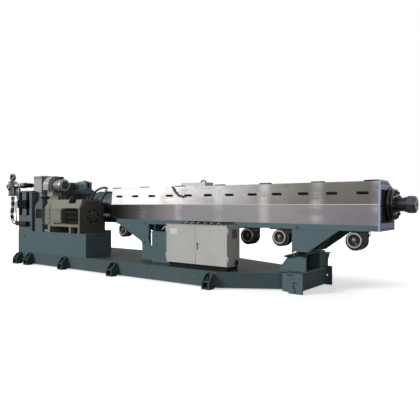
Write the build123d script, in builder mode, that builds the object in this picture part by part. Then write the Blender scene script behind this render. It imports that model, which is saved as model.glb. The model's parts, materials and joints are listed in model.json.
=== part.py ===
"""Single-screw plastic extruder on its welded bed, drive at the left and die end at the right.

Millimetres. +X runs along the screw to the die end, -Y is the operator's side, +Z is up.
The origin is on the floor, under the middle of the whole machine.
"""
from build123d import *
import math
import os

os.makedirs("parts", exist_ok=True)

# Screw line
SCREW_INSET = 977
AXIS_Z = 1300

# Bed
BED_LEFT = -3810
BED_SHORTFALL = 1350
BED_HALF = 905
BED_TIP_HALF = 336
TAPER_NEAR_RUN = 950
TAPER_FAR_RUN = 1670
BED_BOTTOM = 20
BED_TOP = 265
BED_EDGE_ROUND = 8
BED_SOCKET_RADIUS = 22
BED_SOCKET_DEPTH = 40
BED_SOCKET_XS = (-2900, -1100, 300, 1250)

# End box of the bed and its corner posts
END_BOX_LENGTH = 250
END_BOX_HALF = 525
END_BOX_TOP = 285
END_BOX_EDGE = 8
POST_INSET = 113
POST_WIDTH = 222
POST_THICK = 22
POST_TOP = 305
POST_SLOT_LENGTH = 90
POST_SLOT_WIDTH = 26
POST_SLOT_DROP = 150

# Levelling feet
FOOT_XS = (-3735, -3321, -2104, -640)
LAST_FOOT_NEAR_GAP = 90
LAST_FOOT_FAR_GAP = 100
FOOT_REACH = 140
FOOT_WIDTH = 150
FOOT_BASE_THICK = 22
FOOT_GUSSET_THICK = 20
FOOT_GUSSET_HEIGHT = 230
FOOT_GUSSET_NOSE = 125
FOOT_GUSSET_CREST = 47
FOOT_SHELF_Z = 110
FOOT_SHELF_THICK = 20
FOOT_SCREW_RADIUS = 16
FOOT_SCREW_TOP = 190
FOOT_NUT_ACROSS = 30
FOOT_NUT_HEIGHT = 24

# Pedestals on the bed
STEP_INSET = 620
PEDESTAL_SEAM_X = -3207
PEDESTAL_TOP = 722
GEARBOX_PEDESTAL_RIGHT = -2250
GEARBOX_PEDESTAL_DEPTH = 1335
MOTOR_PEDESTAL_RIGHT = -1455
PEDESTAL_EDGE = 6
PEDESTAL_HOLE_X = -3541
PEDESTAL_HOLE_Z = 617
PEDESTAL_HOLE_RADIUS = 24

# Gearbox
GEARBOX_LEFT = -2960
GEARBOX_RIGHT = -2590
GEARBOX_HALF = 190
GEARBOX_SPLIT_Z = 1545
GEARBOX_FLANGE = 30
GEARBOX_FLANGE_REACH = 28
GEARBOX_TOP = 1806
GEARBOX_UPPER_INSET = 8
GEARBOX_CORNER = 45
GEARBOX_RIB_COUNT = 3
GEARBOX_RIB_WIDTH = 26
GEARBOX_RIB_REACH = 20
GEARBOX_COVER_LENGTH = 250
GEARBOX_COVER_WIDTH = 120
GEARBOX_COVER_THICK = 18
GEARBOX_FOOT_REACH = 22
GEARBOX_FOOT_THICK = 40
UPPER_CREST_HALF = 90
UPPER_SHOULDER_Z = 1640
UPPER_SKIRT = 25
UPPER_CREST_EDGE = 14
UPPER_POCKET_WIDTH = 56
UPPER_POCKET_HEIGHT = 96
UPPER_POCKET_DEPTH = 30
UPPER_POCKET_Z = 1720
THRUST_RADIUS = 178
THRUST_LENGTH = 178

# Belt guard between motor and gearbox
BELT_GUARD_LEFT = -3420
BELT_GUARD_RIGHT = -2995
BELT_GUARD_INSET = 115
BELT_GUARD_DEPTH = 1120
BELT_GUARD_TOP = 1466
BELT_GUARD_ROUND = 240
PULLEY_COVER_RIGHT = -3010
PULLEY_COVER_NEAR = 282
PULLEY_COVER_FAR = 282
PULLEY_COVER_TOP = 1796
PULLEY_COVER_ROUND = 110

# Slotted guard at the drive end
SLOT_GUARD_LEFT = -3806
SLOT_GUARD_RIGHT = -3283
SLOT_GUARD_TOP = 1602
SLOT_GUARD_DEPTH = 100
SLOT_WIDTH = 118
SLOT_LENGTH = 515
SLOT_BOTTOM_Z = 1060
SLOT_DEPTH = 70
SLOT_XS = (-3722, -3444)
JUNCTION_BOX_LEFT = -3772
JUNCTION_BOX_RIGHT = -3409
JUNCTION_BOX_BOTTOM = 1223
JUNCTION_BOX_TOP = 1400
JUNCTION_BOX_REACH = 60

# Coupling guard at the motor's drive end
COUPLING_GUARD_LEFT = -3221
COUPLING_GUARD_RIGHT = -2950
COUPLING_GUARD_INSET = 35
COUPLING_GUARD_SHOULDER_Z = 1215
COUPLING_GUARD_TOP = 1395
COUPLING_WINDOW_LEFT = -3184
COUPLING_WINDOW_WIDTH = 214
COUPLING_WINDOW_BOTTOM = 1002
COUPLING_WINDOW_HEIGHT = 200
COUPLING_WINDOW_DEPTH = 25

# Main motor
MOTOR_INSET = 383
MOTOR_HALF = 305
MOTOR_TOP = 1400
MOTOR_SHOULDER_Z = 1230
MOTOR_TOP_HALF = 225
MOTOR_RIGHT = -1760
MOTOR_FLANGE_THICK = 213
MOTOR_FLANGE_REACH = 4
MOTOR_FOOT_HEIGHT = 123
MOTOR_FOOT_WIDTH = 50
MOTOR_MIDDLE_FOOT_X = -2064
MOTOR_PORT_X = -2872
MOTOR_PORT_WIDTH = 126
MOTOR_PORT_BOTTOM = 772
MOTOR_PORT_HEIGHT = 106
MOTOR_PORT_DEPTH = 80
MOTOR_BODY_ROUND = 14
TERMINAL_LEFT = -2621
TERMINAL_RIGHT = -2311
TERMINAL_BOTTOM = 920
TERMINAL_TOP = 1206
TERMINAL_REACH = 26
VENT_LEFT = -2231
VENT_RIGHT = -1810
VENT_BOTTOM = 917
VENT_TOP = 1208
VENT_DEPTH = 60
VENT_SLAT_COUNT = 6
VENT_SLAT_THICK = 10
VENT_SLAT_DEPTH = 30

# Motor end bell
BELL_THICK = 40
BELL_HALF = 322
BELL_TOP = 1369
BELL_SHOULDER_Z = 1231
BELL_TOP_HALF = 140
BELL_BOTTOM = 737
BELL_FOOT_WIDTH = 380
BELL_HUB_RADIUS = 92
BELL_HUB_REACH = 26
BELL_CAP_RADIUS = 46
BELL_CAP_REACH = 22
BELL_HUB_Z = 1063

# Motor blower
BLOWER_INSET = 325
BLOWER_Z = 1706
DUCT_LEFT = -2990
DUCT_RIGHT = -2640
DUCT_TOP = 1486
DUCT_HALF = 125
DUCT_FLANGE = 14
DUCT_FLANGE_REACH = 22
SCROLL_LEFT = -3045
SCROLL_RIGHT = -2850
SCROLL_START_ANGLE = 50
SCROLL_STEPS = 6
SCROLL_START_RADIUS = 172
SCROLL_END_RADIUS = 212
SCROLL_OUTLET = 96
BLOWER_MOTOR_RADIUS = 136
BLOWER_MOTOR_RIGHT = -2556
BLOWER_MOTOR_ROUND = 30
BLOWER_CONE_SMALL = 118
BLOWER_CONE_LARGE = 178
FILTER_LEFT = -3440
FILTER_RIGHT = -3135
FILTER_INSET = 140
FILTER_DEPTH = 370
FILTER_TOP = 1925
FILTER_EDGE = 14

# Oil unit at the far left
OIL_INSET = 53
OIL_X = -4130
OIL_END_X = -4330
OIL_BODY_RADIUS = 92
OIL_BODY_BOTTOM = 1500
OIL_BODY_TOP = 1800
OIL_NECK_RADIUS = 48
OIL_RING_Z = 1918
OIL_RING_RADIUS = 82
OIL_RING_BORE = 52
OIL_RING_THICK = 56
OIL_PIPE_Z = 1722
OIL_PIPE_RADIUS = 42
OIL_ELBOW_X = -3525
OIL_ELBOW_STEP = 212
OIL_ELBOW_BEND = 70
OIL_COLLAR_RADIUS = 62
OIL_COLLAR_LENGTH = 150
OIL_ARM_HEIGHT = 70
OIL_ARM_THICK = 16
OIL_ARM_BOTTOM = 1515
OIL_SIDE_RADIUS = 46
MANIFOLD_LEFT = -3800
MANIFOLD_RIGHT = -3398
MANIFOLD_BOTTOM = 835
MANIFOLD_TOP = 930
MANIFOLD_REACH = 84
MANIFOLD_ROUND = 20
OIL_HOSE_RADIUS = 14
OIL_HOSE_SPREAD = 70
OIL_HOSE_END_SPREAD = 46
OIL_HOSE_ROUTE = ((0, 0, -110), (90, -48, -250), (120, -95, -420), (150, -95, -540), (210, -95, -600))

# Feed housing and the barrel's rear support
FEED_RADIUS = 250
FEED_DOME_ROUND = 110
FEED_HOOD_RADIUS = 280
FEED_HOOD_START = 222
FEED_HOOD_LENGTH = 340
FEED_RIGHT = -1400
SUPPORT_BLOCK_LEFT = -1690
SUPPORT_BLOCK_HALF = 320
SUPPORT_BLOCK_TOP = 1290
SEAT_CLEARANCE = 0.3
WATER_HOSE_RADIUS = 21
WATER_PORT_RADIUS = 30
WATER_PORT_REACH = 25
WATER_PORT_ROOT = 60
WATER_PORT_ANGLE = 20
SIDE_PORT_X = 130
CROWN_PORT_X = 192
WATER_HOSE_LEAD = 60
WATER_HOSE_ROUTE = ((145, -262, 285), (165, -112, 358), (192, 0, 368))

# Barrel beam
BEAM_LEFT = -1180
BEAM_TOP = 1015
BEAM_BOTTOM = 935
BEAM_HALF = 440
BEAM_FAR_HALF = 222
BEAM_WALL = 14

# Barrel cover
COVER_LEFT = -1330
COVER_COUNT = 6
COVER_LENGTH = 880
COVER_JOINT = 2
COVER_SHEET = 5
COVER_RIDGE_Z = 1300
COVER_TOP = 1620
COVER_TOP_NEAR_HALF = 408
COVER_TOP_FAR_HALF = 105
COVER_SHOULDER_HALF = 154
COVER_SHOULDER_Z = 1508
HANDLE_PITCH = 440
HANDLE_LENGTH = 160
HANDLE_WIDTH = 36
HANDLE_THICK = 14
HANDLE_Z = 1460
CLIP_LENGTH = 200
CLIP_WIDTH = 46
CLIP_THICK = 16
CLIP_END_INSET = 105
TOP_BOX_LEFT = 372
TOP_BOX_RIGHT = 928
TOP_BOX_HALF = 120
TOP_BOX_HEIGHT = 66
TOP_BOX_ROUND = 10

# Barrel and die end
BARREL_RADIUS = 132
END_PLATE_THICK = 25
END_PLATE_RIM = 10
PLATE_RECESS_NEAR = 405
PLATE_RECESS_FAR = 178
PLATE_RECESS_BOTTOM = 1045
PLATE_RECESS_TOP = 1500
PLATE_RECESS_DEPTH = 14
FLANGE_RADIUS = 214
FLANGE_THICK = 42
FLANGE_GROOVE = 8
FLANGE_BACK_RADIUS = 231
FLANGE_GROOVE_RADIUS = 196
FLANGE_EDGE = 7
HEAD_NECK_RADIUS = 78
HEAD_NECK_LENGTH = 148
HEAD_STUD_COUNT = 6
HEAD_STUD_CIRCLE = 190
HEAD_STUD_RADIUS = 12
HEAD_RADIUS = 116
HEAD_LENGTH = 115
HEAD_NOSE_RADIUS = 96
HEAD_NOSE_LENGTH = 30
MELT_BORE_RADIUS = 30
DIE_BOLT_COUNT = 8
DIE_BOLT_CIRCLE = 156
DIE_BOLT_HOLE_RADIUS = 8
DIE_BOLT_DEPTH = 50

# Left leg
LEG_PLATE = 24
LEFT_LEG_TOP_LEFT = -1150
LEFT_LEG_WAIST_X = -465
LEFT_LEG_WAIST_Z = 585
LEFT_LEG_BEND = 110
LEFT_LEG_RIGHT = -296
LEFT_LEG_KNEE_Z = 634
LEFT_LEG_TOE_X = -110
LEFT_LEG_WEB_X = -400
LEG_WEB_DEPTH = 140
LEG_FOOT_THICK = 20

# Right leg and the end support under it
RIGHT_LEG_INSET = 1274
RIGHT_LEG_TOP_LENGTH = 729
RIGHT_LEG_BOTTOM_LENGTH = 257
RIGHT_LEG_BOTTOM = 600
END_SUPPORT_TOP = 515
END_SUPPORT_TOE = -193
END_SUPPORT_CREST = -44
END_SUPPORT_LENGTH = 245
END_SUPPORT_NEAR = 322
END_SUPPORT_DEPTH = 740
END_SUPPORT_PLATE = 24
TOE_HEIGHT = 40
COLUMN_START = 50
COLUMN_TOP = 566
POCKET_NEAR = 34
POCKET_WIDTH = 470
POCKET_BOTTOM = 300
POCKET_HEIGHT = 244
POCKET_DEPTH = 170
CLAMP_WIDTH = 60
CLAMP_HEIGHT = 34
CLAMP_XS = (100, 210)
CLAMP_YS = (-202, 170)
LEVER_Y = -362
LEVER_ROOT_X = 156
LEVER_ROOT_Z = 570
LEVER_ROOT_RADIUS = 24
LEVER_TIP_X = -87
LEVER_TIP_Z = 506
LEVER_TIP_RADIUS = 13
CUP_X = 205
CUP_Y = 66
CUP_SUPPORT_GAP = 35
CUP_SHELF_LENGTH = 90
CUP_SHELF_DEPTH = 108
CUP_SHELF_THICK = 20
CUP_FOOT_RADIUS = 38
CUP_RIM_RADIUS = 62
CUP_HEIGHT = 222
CUP_RIM_HEIGHT = 20
CUP_WALL = 4

# Water tank between the legs
TANK_CABINET_GAP = 634
TANK_LENGTH = 604
TANK_INSET = 365
TANK_DEPTH = 164
TANK_TOP = 815
TANK_RIM = 14
TANK_RIM_HEIGHT = 24

# Barrel cooling fans
FAN_INSET = 338
FAN_PITCH = 581
FAN_SCREW_GAP = 334
FAN_Z = 803
FAN_START_RADIUS = 112
FAN_END_RADIUS = 158
FAN_DEPTH = 130
FAN_FLANGE_LENGTH = 340
FAN_FLANGE_DEPTH = 156
FAN_FLANGE_THICK = 16
FAN_RING_OUTER = 108
FAN_RING_INNER = 84
FAN_RING_REACH = 16
FAN_MOTOR_RADIUS = 60
FAN_MOTOR_REACH = 90
LEG_CLEARANCE = 20

# Heater cabinet on the near edge of the bed
CABINET_TAPER_GAP = 1060
CABINET_WIDTH = 1247
CABINET_INSET = 52
CABINET_DEPTH = 345
CABINET_BOTTOM = 340
CABINET_TOP = 970
CABINET_WALL = 6
CABINET_RETURN = 26
DOOR_THICK = 22
DOOR_GAP = 5
DOOR_MARGIN = 4
DOOR_EDGE = 3
DOOR_HOLLOW = 16
PLINTH_INSET = 28
HINGE_OFFSET = 11
HINGE_PIN_RADIUS = 5
HINGE_KNUCKLE_RADIUS = 9
HINGE_KNUCKLE_LENGTH = 40
HINGE_LEAF = 4
HINGE_CLEARANCE = 0.3
HINGE_ZS = (420, 850)
LATCH_Z = 640
LATCH_HEIGHT = 110
LATCH_WIDTH = 24
LATCH_REACH = 22
CABLE_COUNT = 12
CABLE_PITCH = 74
CABLE_RADIUS = 8
CABLE_DEPTH = 308
CABLE_RISE = 34

# Share of a hose's shorter run that a bend takes up on each side of a corner
BEND_SHARE = 0.45

# Planes that pieces are drawn on


def near_plane(y):
    """Upright plane along the machine at y, drawn in X and Z, extruded towards the operator."""
    return Plane.XZ.offset(-y)


def cross_plane(x):
    """Upright plane across the machine at x, drawn in Y and Z, extruded towards the die."""
    return Plane.YZ.offset(x)


def level_plane(z):
    """Level plane at height z, drawn in X and Y, extruded upwards."""
    return Plane.XY.offset(z)


def bend_radii(route):
    """The largest even bend at each inner point of a hose's route."""
    points = [Vector(*point) for point in route]
    radii = []
    for before, corner, after in zip(points, points[1:], points[2:]):
        turn = (corner - before).get_angle(after - corner)
        run = min((corner - before).length, (after - corner).length)
        radii.append(BEND_SHARE * run / math.tan(math.radians(turn / 2)))
    return radii


def scroll_outline(start_radius, end_radius, outlet_length):
    """Snail outline of a blower: the radius grows evenly round from the tongue to the outlet.

    Drawn about the origin with the outlet running up along the right, which closes the outline.
    """
    turn = 360 - SCROLL_START_ANGLE
    spiral = []
    for step in range(SCROLL_STEPS + 1):
        share = step / SCROLL_STEPS
        angle = math.radians(SCROLL_START_ANGLE + turn * share)
        radius = start_radius + (end_radius - start_radius) * share
        spiral.append((radius * math.cos(angle), radius * math.sin(angle)))
    with BuildSketch(mode=Mode.PRIVATE) as outline:
        with BuildLine():
            wall = Spline(*spiral)
            Polyline(
                wall @ 1,
                (end_radius, outlet_length),
                ((wall @ 0).X, outlet_length),
                wall @ 0,
            )
        make_face()
    return outline.sketch


# Places that follow from the bed's near edge and the covers' end
bed_near = -BED_HALF
axis_y = bed_near + SCREW_INSET
step_y = bed_near + STEP_INSET
gearbox_pedestal_far = bed_near + GEARBOX_PEDESTAL_DEPTH
belt_guard_near = bed_near + BELT_GUARD_INSET
belt_guard_far = belt_guard_near + BELT_GUARD_DEPTH
coupling_guard_near = bed_near + COUPLING_GUARD_INSET
motor_axis_y = bed_near + MOTOR_INSET
blower_y = bed_near + BLOWER_INSET
filter_near = bed_near + FILTER_INSET
oil_y = bed_near + OIL_INSET
oil_elbow_y = oil_y + OIL_ELBOW_STEP
cover_top_near = axis_y - COVER_TOP_NEAR_HALF
cover_top_far = axis_y - COVER_TOP_FAR_HALF
cover_shoulder_y = axis_y + COVER_SHOULDER_HALF
tank_near = bed_near + TANK_INSET
tank_far = tank_near + TANK_DEPTH
fan_y = axis_y - FAN_SCREW_GAP
cabinet_near = bed_near + CABINET_INSET
cable_y = cabinet_near + CABLE_DEPTH
beam_near = axis_y - BEAM_HALF
beam_far = axis_y + BEAM_FAR_HALF
cover_right = COVER_LEFT + COVER_COUNT * COVER_LENGTH
right_leg_left = cover_right - RIGHT_LEG_INSET
right_leg_top_right = right_leg_left + RIGHT_LEG_TOP_LENGTH
right_leg_bottom_right = right_leg_left + RIGHT_LEG_BOTTOM_LENGTH
bed_right = cover_right - BED_SHORTFALL
taper_near_x = bed_right - TAPER_NEAR_RUN
taper_far_x = bed_right - TAPER_FAR_RUN
cabinet_left = taper_near_x - CABINET_TAPER_GAP
tank_left = cabinet_left - TANK_CABINET_GAP
tank_right = tank_left + TANK_LENGTH
support_near = axis_y - END_SUPPORT_NEAR
support_far = support_near + END_SUPPORT_DEPTH
cup_root_y = max(END_BOX_HALF, support_far + CUP_SUPPORT_GAP)
cup_y = cup_root_y + CUP_Y
screw_line = Axis((0, axis_y, AXIS_Z), (1, 0, 0))

# Bed frame: one long welded box, narrowed towards the die end
with BuildPart() as bed_frame:
    with BuildSketch(level_plane(BED_BOTTOM)):
        with BuildLine():
            Polyline(
                (BED_LEFT, -BED_HALF),
                (taper_near_x, -BED_HALF),
                (bed_right, -BED_TIP_HALF),
                (bed_right, BED_TIP_HALF),
                (taper_far_x, BED_HALF),
                (BED_LEFT, BED_HALF),
                close=True,
            )
        make_face()
    extrude(amount=BED_TOP - BED_BOTTOM)
    fillet(bed_frame.edges().filter_by(Axis.Z), BED_EDGE_ROUND)
    chamfer(bed_frame.faces().sort_by(Axis.Z)[-1].edges(), BED_EDGE_ROUND / 2)
    with BuildSketch(near_plane(bed_near)):
        with Locations(*[(x, (BED_BOTTOM + BED_TOP) / 2) for x in BED_SOCKET_XS]):
            Circle(BED_SOCKET_RADIUS)
    extrude(amount=-BED_SOCKET_DEPTH, mode=Mode.SUBTRACT)
bed_frame.part.label = "bed_frame"
export_step(bed_frame.part, "parts/bed_frame.step")

# End box across the tip of the bed, with slotted corner posts and the cup's shelf
end_box_right = bed_right + END_BOX_LENGTH
cup_x = bed_right + CUP_X
shelf_depth = cup_root_y + CUP_SHELF_DEPTH - END_BOX_HALF
with BuildPart() as bed_end_box:
    with BuildSketch(level_plane(BED_BOTTOM)):
        with Locations(((bed_right + end_box_right) / 2, 0)):
            Rectangle(END_BOX_LENGTH, 2 * END_BOX_HALF)
    extrude(amount=END_BOX_TOP - BED_BOTTOM)
    chamfer(bed_end_box.faces().sort_by(Axis.Z)[-1].edges(), END_BOX_EDGE)
    post_middle = bed_right + POST_INSET + POST_WIDTH / 2
    with BuildSketch(near_plane(-END_BOX_HALF)) as post_outline:
        with Locations((post_middle, POST_TOP / 2)):
            Rectangle(POST_WIDTH, POST_TOP)
        with Locations((post_middle, POST_TOP - POST_SLOT_DROP)):
            SlotOverall(POST_SLOT_LENGTH, POST_SLOT_WIDTH, mode=Mode.SUBTRACT)
    extrude(amount=POST_THICK)
    with BuildSketch(near_plane(END_BOX_HALF)):
        add(post_outline.sketch_local)
    extrude(amount=-POST_THICK)
    with BuildSketch(level_plane(END_BOX_TOP - CUP_SHELF_THICK)):
        with Locations((cup_x, END_BOX_HALF + shelf_depth / 2)):
            Rectangle(CUP_SHELF_LENGTH, shelf_depth)
    extrude(amount=CUP_SHELF_THICK)
bed_end_box.part.label = "bed_end_box"
export_step(bed_end_box.part, "parts/bed_end_box.step")

# Levelling feet: base, two gussets, a shelf and the jack screw with its nut
gusset_offset = (FOOT_WIDTH - FOOT_GUSSET_THICK) / 2
foot_middle = bed_near - FOOT_REACH / 2
near_foot_xs = FOOT_XS + (taper_near_x - LAST_FOOT_NEAR_GAP,)
far_foot_xs = FOOT_XS + (taper_far_x - LAST_FOOT_FAR_GAP,)
with BuildPart() as levelling_feet:
    for foot_xs, near_side in ((near_foot_xs, True), (far_foot_xs, False)):
        with BuildPart(mode=Mode.PRIVATE) as foot_row:
            with BuildSketch(level_plane(0)):
                with Locations(*[(x, foot_middle) for x in foot_xs]):
                    Rectangle(FOOT_WIDTH, FOOT_REACH)
            extrude(amount=FOOT_BASE_THICK)
            with BuildSketch(level_plane(FOOT_SHELF_Z)):
                with Locations(*[(x, foot_middle) for x in foot_xs]):
                    Rectangle(FOOT_WIDTH, FOOT_REACH)
            extrude(amount=FOOT_SHELF_THICK)
            for x in foot_xs:
                for side in (-1, 1):
                    with BuildSketch(cross_plane(x + side * gusset_offset)):
                        with BuildLine():
                            Polyline(
                                (bed_near, 0),
                                (bed_near, FOOT_GUSSET_HEIGHT),
                                (bed_near - FOOT_GUSSET_CREST, FOOT_GUSSET_HEIGHT),
                                (bed_near - FOOT_REACH, FOOT_GUSSET_NOSE),
                                (bed_near - FOOT_REACH, 0),
                                close=True,
                            )
                        make_face()
                    extrude(amount=FOOT_GUSSET_THICK / 2, both=True)
            with BuildSketch(level_plane(0)):
                with Locations(*[(x, foot_middle) for x in foot_xs]):
                    Circle(FOOT_SCREW_RADIUS)
            extrude(amount=FOOT_SCREW_TOP)
            with BuildSketch(level_plane(FOOT_SHELF_Z + FOOT_SHELF_THICK)):
                with Locations(*[(x, foot_middle) for x in foot_xs]):
                    RegularPolygon(FOOT_NUT_ACROSS, 6)
            extrude(amount=FOOT_NUT_HEIGHT)
        if near_side:
            add(foot_row.part)
        else:
            add(mirror(foot_row.part, about=Plane.XZ, mode=Mode.PRIVATE))
levelling_feet.part.label = "levelling_feet"
export_step(levelling_feet.part, "parts/levelling_feet.step")

# Gearbox pedestal: an L in plan, its short arm under the drive guards
with BuildPart() as gearbox_pedestal:
    with BuildSketch(level_plane(BED_TOP)):
        with BuildLine():
            Polyline(
                (BED_LEFT, bed_near),
                (PEDESTAL_SEAM_X, bed_near),
                (PEDESTAL_SEAM_X, step_y),
                (GEARBOX_PEDESTAL_RIGHT, step_y),
                (GEARBOX_PEDESTAL_RIGHT, gearbox_pedestal_far),
                (BED_LEFT, gearbox_pedestal_far),
                close=True,
            )
        make_face()
    extrude(amount=PEDESTAL_TOP - BED_TOP)
    chamfer(gearbox_pedestal.faces().sort_by(Axis.Z)[-1].edges(), PEDESTAL_EDGE)
    with BuildSketch(near_plane(bed_near)):
        with Locations((PEDESTAL_HOLE_X, PEDESTAL_HOLE_Z)):
            Circle(PEDESTAL_HOLE_RADIUS)
    extrude(amount=-BED_SOCKET_DEPTH, mode=Mode.SUBTRACT)
gearbox_pedestal.part.label = "gearbox_pedestal"
export_step(gearbox_pedestal.part, "parts/gearbox_pedestal.step")

# Motor pedestal: plain welded box beside it
with BuildPart() as motor_pedestal:
    with BuildSketch(level_plane(BED_TOP)):
        with Locations(((PEDESTAL_SEAM_X + MOTOR_PEDESTAL_RIGHT) / 2, (bed_near + step_y) / 2)):
            Rectangle(MOTOR_PEDESTAL_RIGHT - PEDESTAL_SEAM_X, step_y - bed_near)
    extrude(amount=PEDESTAL_TOP - BED_TOP)
    chamfer(motor_pedestal.faces().sort_by(Axis.Z)[-1].edges(), PEDESTAL_EDGE)
motor_pedestal.part.label = "motor_pedestal"
export_step(motor_pedestal.part, "parts/motor_pedestal.step")

# Gearbox lower case: ribbed casting with foot flange, joint flange and the thrust housing
gearbox_length = GEARBOX_RIGHT - GEARBOX_LEFT
gearbox_middle = (GEARBOX_LEFT + GEARBOX_RIGHT) / 2
rib_pitch = gearbox_length / GEARBOX_RIB_COUNT
with BuildPart() as gearbox_lower_case:
    with BuildSketch(level_plane(PEDESTAL_TOP)):
        with Locations((gearbox_middle, axis_y)):
            Rectangle(gearbox_length, 2 * GEARBOX_HALF)
    extrude(amount=GEARBOX_SPLIT_Z - PEDESTAL_TOP)
    fillet(gearbox_lower_case.edges().filter_by(Axis.Z), GEARBOX_CORNER / 2)
    with BuildSketch(level_plane(PEDESTAL_TOP)):
        with Locations((gearbox_middle, axis_y)):
            Rectangle(gearbox_length - 2 * GEARBOX_FOOT_REACH, 2 * GEARBOX_HALF + GEARBOX_FOOT_REACH)
    extrude(amount=GEARBOX_FOOT_THICK)
    with BuildSketch(level_plane(GEARBOX_SPLIT_Z - GEARBOX_FLANGE)):
        with Locations((gearbox_middle, axis_y)):
            RectangleRounded(
                gearbox_length + 2 * GEARBOX_FLANGE_REACH,
                2 * GEARBOX_HALF + 2 * GEARBOX_FLANGE_REACH,
                GEARBOX_CORNER,
            )
    extrude(amount=GEARBOX_FLANGE)
    for rib in range(GEARBOX_RIB_COUNT):
        rib_x = GEARBOX_LEFT + (rib + 0.5) * rib_pitch
        with BuildSketch(level_plane(PEDESTAL_TOP)):
            with Locations((rib_x, axis_y)):
                Rectangle(GEARBOX_RIB_WIDTH, 2 * GEARBOX_HALF + 2 * GEARBOX_RIB_REACH)
        extrude(amount=GEARBOX_SPLIT_Z - PEDESTAL_TOP)
    with BuildSketch(cross_plane(GEARBOX_RIGHT)):
        with Locations((axis_y, AXIS_Z)):
            Circle(THRUST_RADIUS)
    extrude(amount=THRUST_LENGTH)
gearbox_lower_case.part.label = "gearbox_lower_case"
export_step(gearbox_lower_case.part, "parts/gearbox_lower_case.step")

# Gearbox upper case: joint flange, sloped shoulders up to a narrow crest, and its cover
upper_length = gearbox_length - 2 * GEARBOX_UPPER_INSET
upper_half = GEARBOX_HALF - GEARBOX_UPPER_INSET
upper_foot_z = GEARBOX_SPLIT_Z + GEARBOX_FLANGE
with BuildPart() as gearbox_upper_case:
    with BuildSketch(level_plane(GEARBOX_SPLIT_Z)):
        with Locations((gearbox_middle, axis_y)):
            RectangleRounded(
                gearbox_length + 2 * GEARBOX_FLANGE_REACH,
                2 * GEARBOX_HALF + 2 * GEARBOX_FLANGE_REACH,
                GEARBOX_CORNER,
            )
    extrude(amount=GEARBOX_FLANGE)
    with BuildSketch(cross_plane(gearbox_middle - upper_length / 2)):
        with BuildLine():
            crest = Polyline(
                (axis_y - upper_half, upper_foot_z),
                (axis_y - upper_half, upper_foot_z + UPPER_SKIRT),
                (axis_y - UPPER_CREST_HALF, UPPER_SHOULDER_Z),
                (axis_y - UPPER_CREST_HALF, GEARBOX_TOP - UPPER_CREST_EDGE),
                (axis_y - UPPER_CREST_HALF + UPPER_CREST_EDGE, GEARBOX_TOP),
                (axis_y, GEARBOX_TOP),
            )
            mirror(crest, about=Plane(origin=(axis_y, 0, 0), z_dir=(1, 0, 0)))
            Line((axis_y - upper_half, upper_foot_z), (axis_y + upper_half, upper_foot_z))
        make_face()
    extrude(amount=upper_length)
    with BuildSketch(level_plane(GEARBOX_TOP)):
        with Locations((gearbox_middle, axis_y)):
            RectangleRounded(GEARBOX_COVER_LENGTH, GEARBOX_COVER_WIDTH, GEARBOX_CORNER / 2)
    extrude(amount=GEARBOX_COVER_THICK)
    with BuildSketch(cross_plane(gearbox_middle + upper_length / 2)):
        with Locations((axis_y, UPPER_POCKET_Z)):
            Rectangle(UPPER_POCKET_WIDTH, UPPER_POCKET_HEIGHT)
    extrude(amount=-UPPER_POCKET_DEPTH, mode=Mode.SUBTRACT)
gearbox_upper_case.part.label = "gearbox_upper_case"
export_step(gearbox_upper_case.part, "parts/gearbox_upper_case.step")

# Belt guard: low casing round the motor's pulley, high cover round the gearbox's pulley
pulley_cover_middle = (PEDESTAL_TOP + PULLEY_COVER_TOP) / 2
with BuildPart() as belt_guard:
    with BuildSketch(near_plane(belt_guard_near)):
        with BuildLine():
            Line((BELT_GUARD_LEFT, PEDESTAL_TOP), (BELT_GUARD_LEFT, BELT_GUARD_TOP))
            Line(
                (BELT_GUARD_LEFT, BELT_GUARD_TOP),
                (BELT_GUARD_RIGHT - BELT_GUARD_ROUND, BELT_GUARD_TOP),
            )
            RadiusArc(
                (BELT_GUARD_RIGHT - BELT_GUARD_ROUND, BELT_GUARD_TOP),
                (BELT_GUARD_RIGHT, BELT_GUARD_TOP - BELT_GUARD_ROUND),
                BELT_GUARD_ROUND,
            )
            Line(
                (BELT_GUARD_RIGHT, BELT_GUARD_TOP - BELT_GUARD_ROUND),
                (BELT_GUARD_RIGHT, PEDESTAL_TOP),
            )
            Line((BELT_GUARD_RIGHT, PEDESTAL_TOP), (BELT_GUARD_LEFT, PEDESTAL_TOP))
        make_face()
    extrude(amount=belt_guard_near - belt_guard_far)
    with BuildSketch(cross_plane(BELT_GUARD_LEFT)):
        with Locations((axis_y + (PULLEY_COVER_FAR - PULLEY_COVER_NEAR) / 2, pulley_cover_middle)):
            Rectangle(PULLEY_COVER_NEAR + PULLEY_COVER_FAR, PULLEY_COVER_TOP - PEDESTAL_TOP)
    extrude(amount=PULLEY_COVER_RIGHT - BELT_GUARD_LEFT)
    fillet(belt_guard.edges().filter_by(Axis.X).group_by(Axis.Z)[-1], PULLEY_COVER_ROUND)
belt_guard.part.label = "belt_guard"
export_step(belt_guard.part, "parts/belt_guard.step")

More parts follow.
